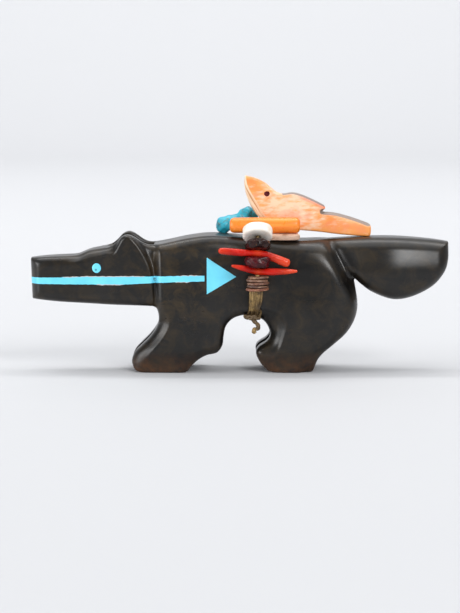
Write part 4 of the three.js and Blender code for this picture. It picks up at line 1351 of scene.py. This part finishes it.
def strand(points, radius, sides=8, tapers=True, ply=0.0, turns=0.0, per_span=7):
    """One strand of sinew; ply and turns wind two finer yarns round each other."""
    fine = catmull(points, per_span)
    n = len(fine)
    for yarn in range(2 if ply else 1):
        number = len(sinew_parts) + 1
        path, radii = [], []
        for i, (here, normal, other) in enumerate(walk(fine)):
            a = 2 * math.pi * turns * i / n + math.pi * yarn
            path.append(here + (normal * math.cos(a) + other * math.sin(a)) * ply)
            wear = 1 + 0.13 * noise(here * 1.1 + Vector((0, 0, number * 5.1)))
            radii.append(radius * wear)
        if tapers:
            radii[-1] *= 0.35
        sinew_parts.append(tube(path, radii, sides))
        for i in range(n):
            for j in range(sides):
                sinew_values["turn"].append(abs(j / sides - 0.5) * 2)
                sinew_values["along"].append(i * 0.4)
                sinew_values["strand"].append(number * 3.7)


def hugging(points, offset, pull=3.0):
    """Moves points that are near the stone to the given distance from its surface."""
    out = []
    for p in points:
        p = Vector(p)
        place, normal, _, distance = stone_tree.find_nearest(p, pull)
        out.append(tuple(place + normal * offset) if place is not None else tuple(p))
    return out


def bead_ends(joint, reach):
    """The points on the string above and below a bead's middle."""
    at, axis = bead_axis(joint)
    return [tuple(at + axis * reach), tuple(at - axis * reach)]


string = [(STRING_X, y, z) for y, z in ((-3.4, 26.9), (-5.0, 27.1), (-6.1, 28.4), (-6.9, 29.4))]
string += bead_ends("white_bead_turn", 1.4) + bead_ends("dark_bead_turn", 1.3)
string += bead_ends("garnet_bead_turn", 1.1)
string += [(STRING_X, -10.75, z) for z in (20.3, 18.0, 16.2)]
strand(string, 0.26, ply=0.17, turns=9, per_span=9)

BAND_ROUTE = (  # under the belly, up the far side and over the back: x, spread in x, y, z
    (3.0, 1.1, -8.0, 12.0), (2.7, 1.0, -6.6, 11.0), (2.6, 1.0, -4.5, 10.8),
    (2.6, 1.0, -1.5, 10.8), (2.6, 1.0, 1.5, 10.8), (2.6, 1.0, 4.5, 10.8),
    (2.7, 1.0, 6.8, 11.2), (2.8, 1.0, 7.9, 13.0), (2.9, 1.0, 7.9, 15.5),
    (3.05, 0.95, 7.9, 18.0), (3.2, 0.9, 7.9, 20.5), (3.35, 0.9, 7.6, 22.8),
    (3.45, 0.9, 7.0, 24.8), (3.5, 0.9, 5.6, 26.3), (3.55, 0.9, 3.6, 26.5),
    (3.55, 0.9, 1.4, 26.5), (3.55, 0.85, -0.8, 26.5), (3.55, 0.8, -2.6, 26.5),
)
rng = random.Random(4)


def jig(most):
    return rng.uniform(-most, most)


for k in range(BAND_STRANDS):
    half = (BAND_STRANDS - 1) / 2
    u = (k - half) / half
    front = [
        (STRING_X - 0.3 + 1.08 * u, -11.2 + 0.5 * abs(u) + jig(0.15), 16.85),
        (STRING_X - 0.35 + 1.02 * u + jig(0.06), -10.5 + jig(0.1), 15.5),
        (STRING_X - 0.45 + 0.95 * u + jig(0.08), -9.5 + jig(0.1), 14.2),
        (STRING_X - 0.6 + 0.85 * u + jig(0.08), -8.7 + jig(0.08), 13.1),
    ]
    cross = 0.22 * math.sin(k * 2.1)
    route = [
        (x + spread * u + cross * math.sin(i * 0.9 + k), y, z)
        for i, (x, spread, y, z) in enumerate(BAND_ROUTE)
    ]
    route = hugging(route, 0.22 + 0.06 * (k % 2))
    strand(front + route, 0.26 + 0.06 * (k % 3 == 1), sides=12, tapers=False, per_span=5)

place, normal, _, _ = stone_tree.find_nearest(Vector((2.5, -6.9, 11.35)))
knot_at = place + normal * 0.55
for phase, size in ((0.0, 1.0), (1.1, 0.85), (2.3, 0.7)):
    loop = []
    for t in np.linspace(0, 2 * math.pi, 18):
        x = size * (1.35 * math.sin(t + phase) + 0.35 * math.sin(2 * t))
        y = size * 0.75 * math.cos(t + phase)
        z = size * (0.32 * math.sin(3 * t + phase)) - 0.1
        loop.append(tuple(knot_at + Vector((x, y, z))))
    strand(loop, 0.27, tapers=False, per_span=3)
tag = [(2.3, -6.9, 11.2), (2.75, -7.1, 10.6), (3.3, -7.2, 10.1), (3.75, -7.25, 9.5),
       (3.6, -7.2, 9.0), (3.0, -7.1, 8.85), (2.8, -7.0, 8.45), (3.15, -6.95, 8.1)]
strand(tag, 0.3, ply=0.15, turns=3)

sinew = piece("sinew_lashing", *merged(sinew_parts), "sinew", sinew_material(),
              name="sinew_visual")
for name, values in sinew_values.items():
    float_attribute(sinew, name, values)

# ---- camera, light and floor

CAMERA_ELEVATION = math.radians(6.0)
CAMERA_DISTANCE = 0.511
CAMERA_AIM = Vector((-0.0020, 0.0, 0.01287))


def placed_object(name, data, place=(0, 0, 0), direction=None):
    """An object for the studio, with its -Z along the direction if there is one."""
    obj = bpy.data.objects.new(name, data)
    bpy.context.scene.collection.objects.link(obj)
    obj.location = place
    if direction:
        obj.rotation_mode = "QUATERNION"
        obj.rotation_quaternion = direction.to_track_quat("-Z", "Y")
    return obj


camera_data = bpy.data.cameras.new("camera")
camera_data.lens = 150
camera_data.sensor_width = 36
camera_back = Vector((0, -math.cos(CAMERA_ELEVATION), math.sin(CAMERA_ELEVATION)))
camera_place = CAMERA_AIM + camera_back * CAMERA_DISTANCE
bpy.context.scene.camera = placed_object("camera", camera_data, camera_place, -camera_back)


def sweep():
    """A pale floor that curves up into a backdrop."""
    radius, floor_front, floor_back, top, half = 0.35, -1.2, 0.9, 1.6, 2.2
    profile = [(floor_front, 0.0)]
    for a in np.linspace(0, math.pi / 2, 16):
        profile.append((floor_back + radius * math.sin(a), radius - radius * math.cos(a)))
    profile.append((floor_back + radius, top))
    verts = [(x, y, z) for y, z in profile for x in (-half, half)]
    faces = [(2 * i, 2 * i + 1, 2 * i + 3, 2 * i + 2) for i in range(len(profile) - 1)]
    mesh = bpy.data.meshes.new("floor")
    mesh.from_pydata(verts, [], faces)
    mesh.shade_smooth()
    material = bpy.data.materials.new("pale_floor")
    material.use_nodes = True
    shader = material.node_tree.nodes["Principled BSDF"]
    shader.inputs["Base Color"].default_value = (0.56, 0.565, 0.58, 1)
    shader.inputs["Roughness"].default_value = 0.7
    mesh.materials.append(material)
    placed_object("floor", mesh)


def area_light(name, place, aim, size, power):
    data = bpy.data.lights.new(name, "AREA")
    data.shape = "RECTANGLE"
    data.size, data.size_y = size
    data.energy = power
    placed_object(name, data, place, Vector(aim) - Vector(place))


sweep()
world = bpy.data.worlds.new("studio")
bpy.context.scene.world = world
world.use_nodes = True
background = world.node_tree.nodes["Background"]
background.inputs["Color"].default_value = (0.93, 0.96, 1.0, 1)
background.inputs["Strength"].default_value = 0.36
area_light("top_light", (0.0, 0.05, 0.75), (0, 0, 0), (0.9, 0.7), 3.1)
area_light("left_light", (-0.72, -0.28, 0.2), (0, 0, 0.02), (0.5, 0.4), 3.8)
area_light("window_light", (0.38, -0.72, 0.5), (0, 0, 0.015), (0.36, 0.4), 5.2)
area_light("backdrop_light", (0, 0.35, 1.1), (0, 1.25, 0.45), (1.8, 0.4), 18.0)

bpy.context.scene.view_settings.view_transform = "Standard"
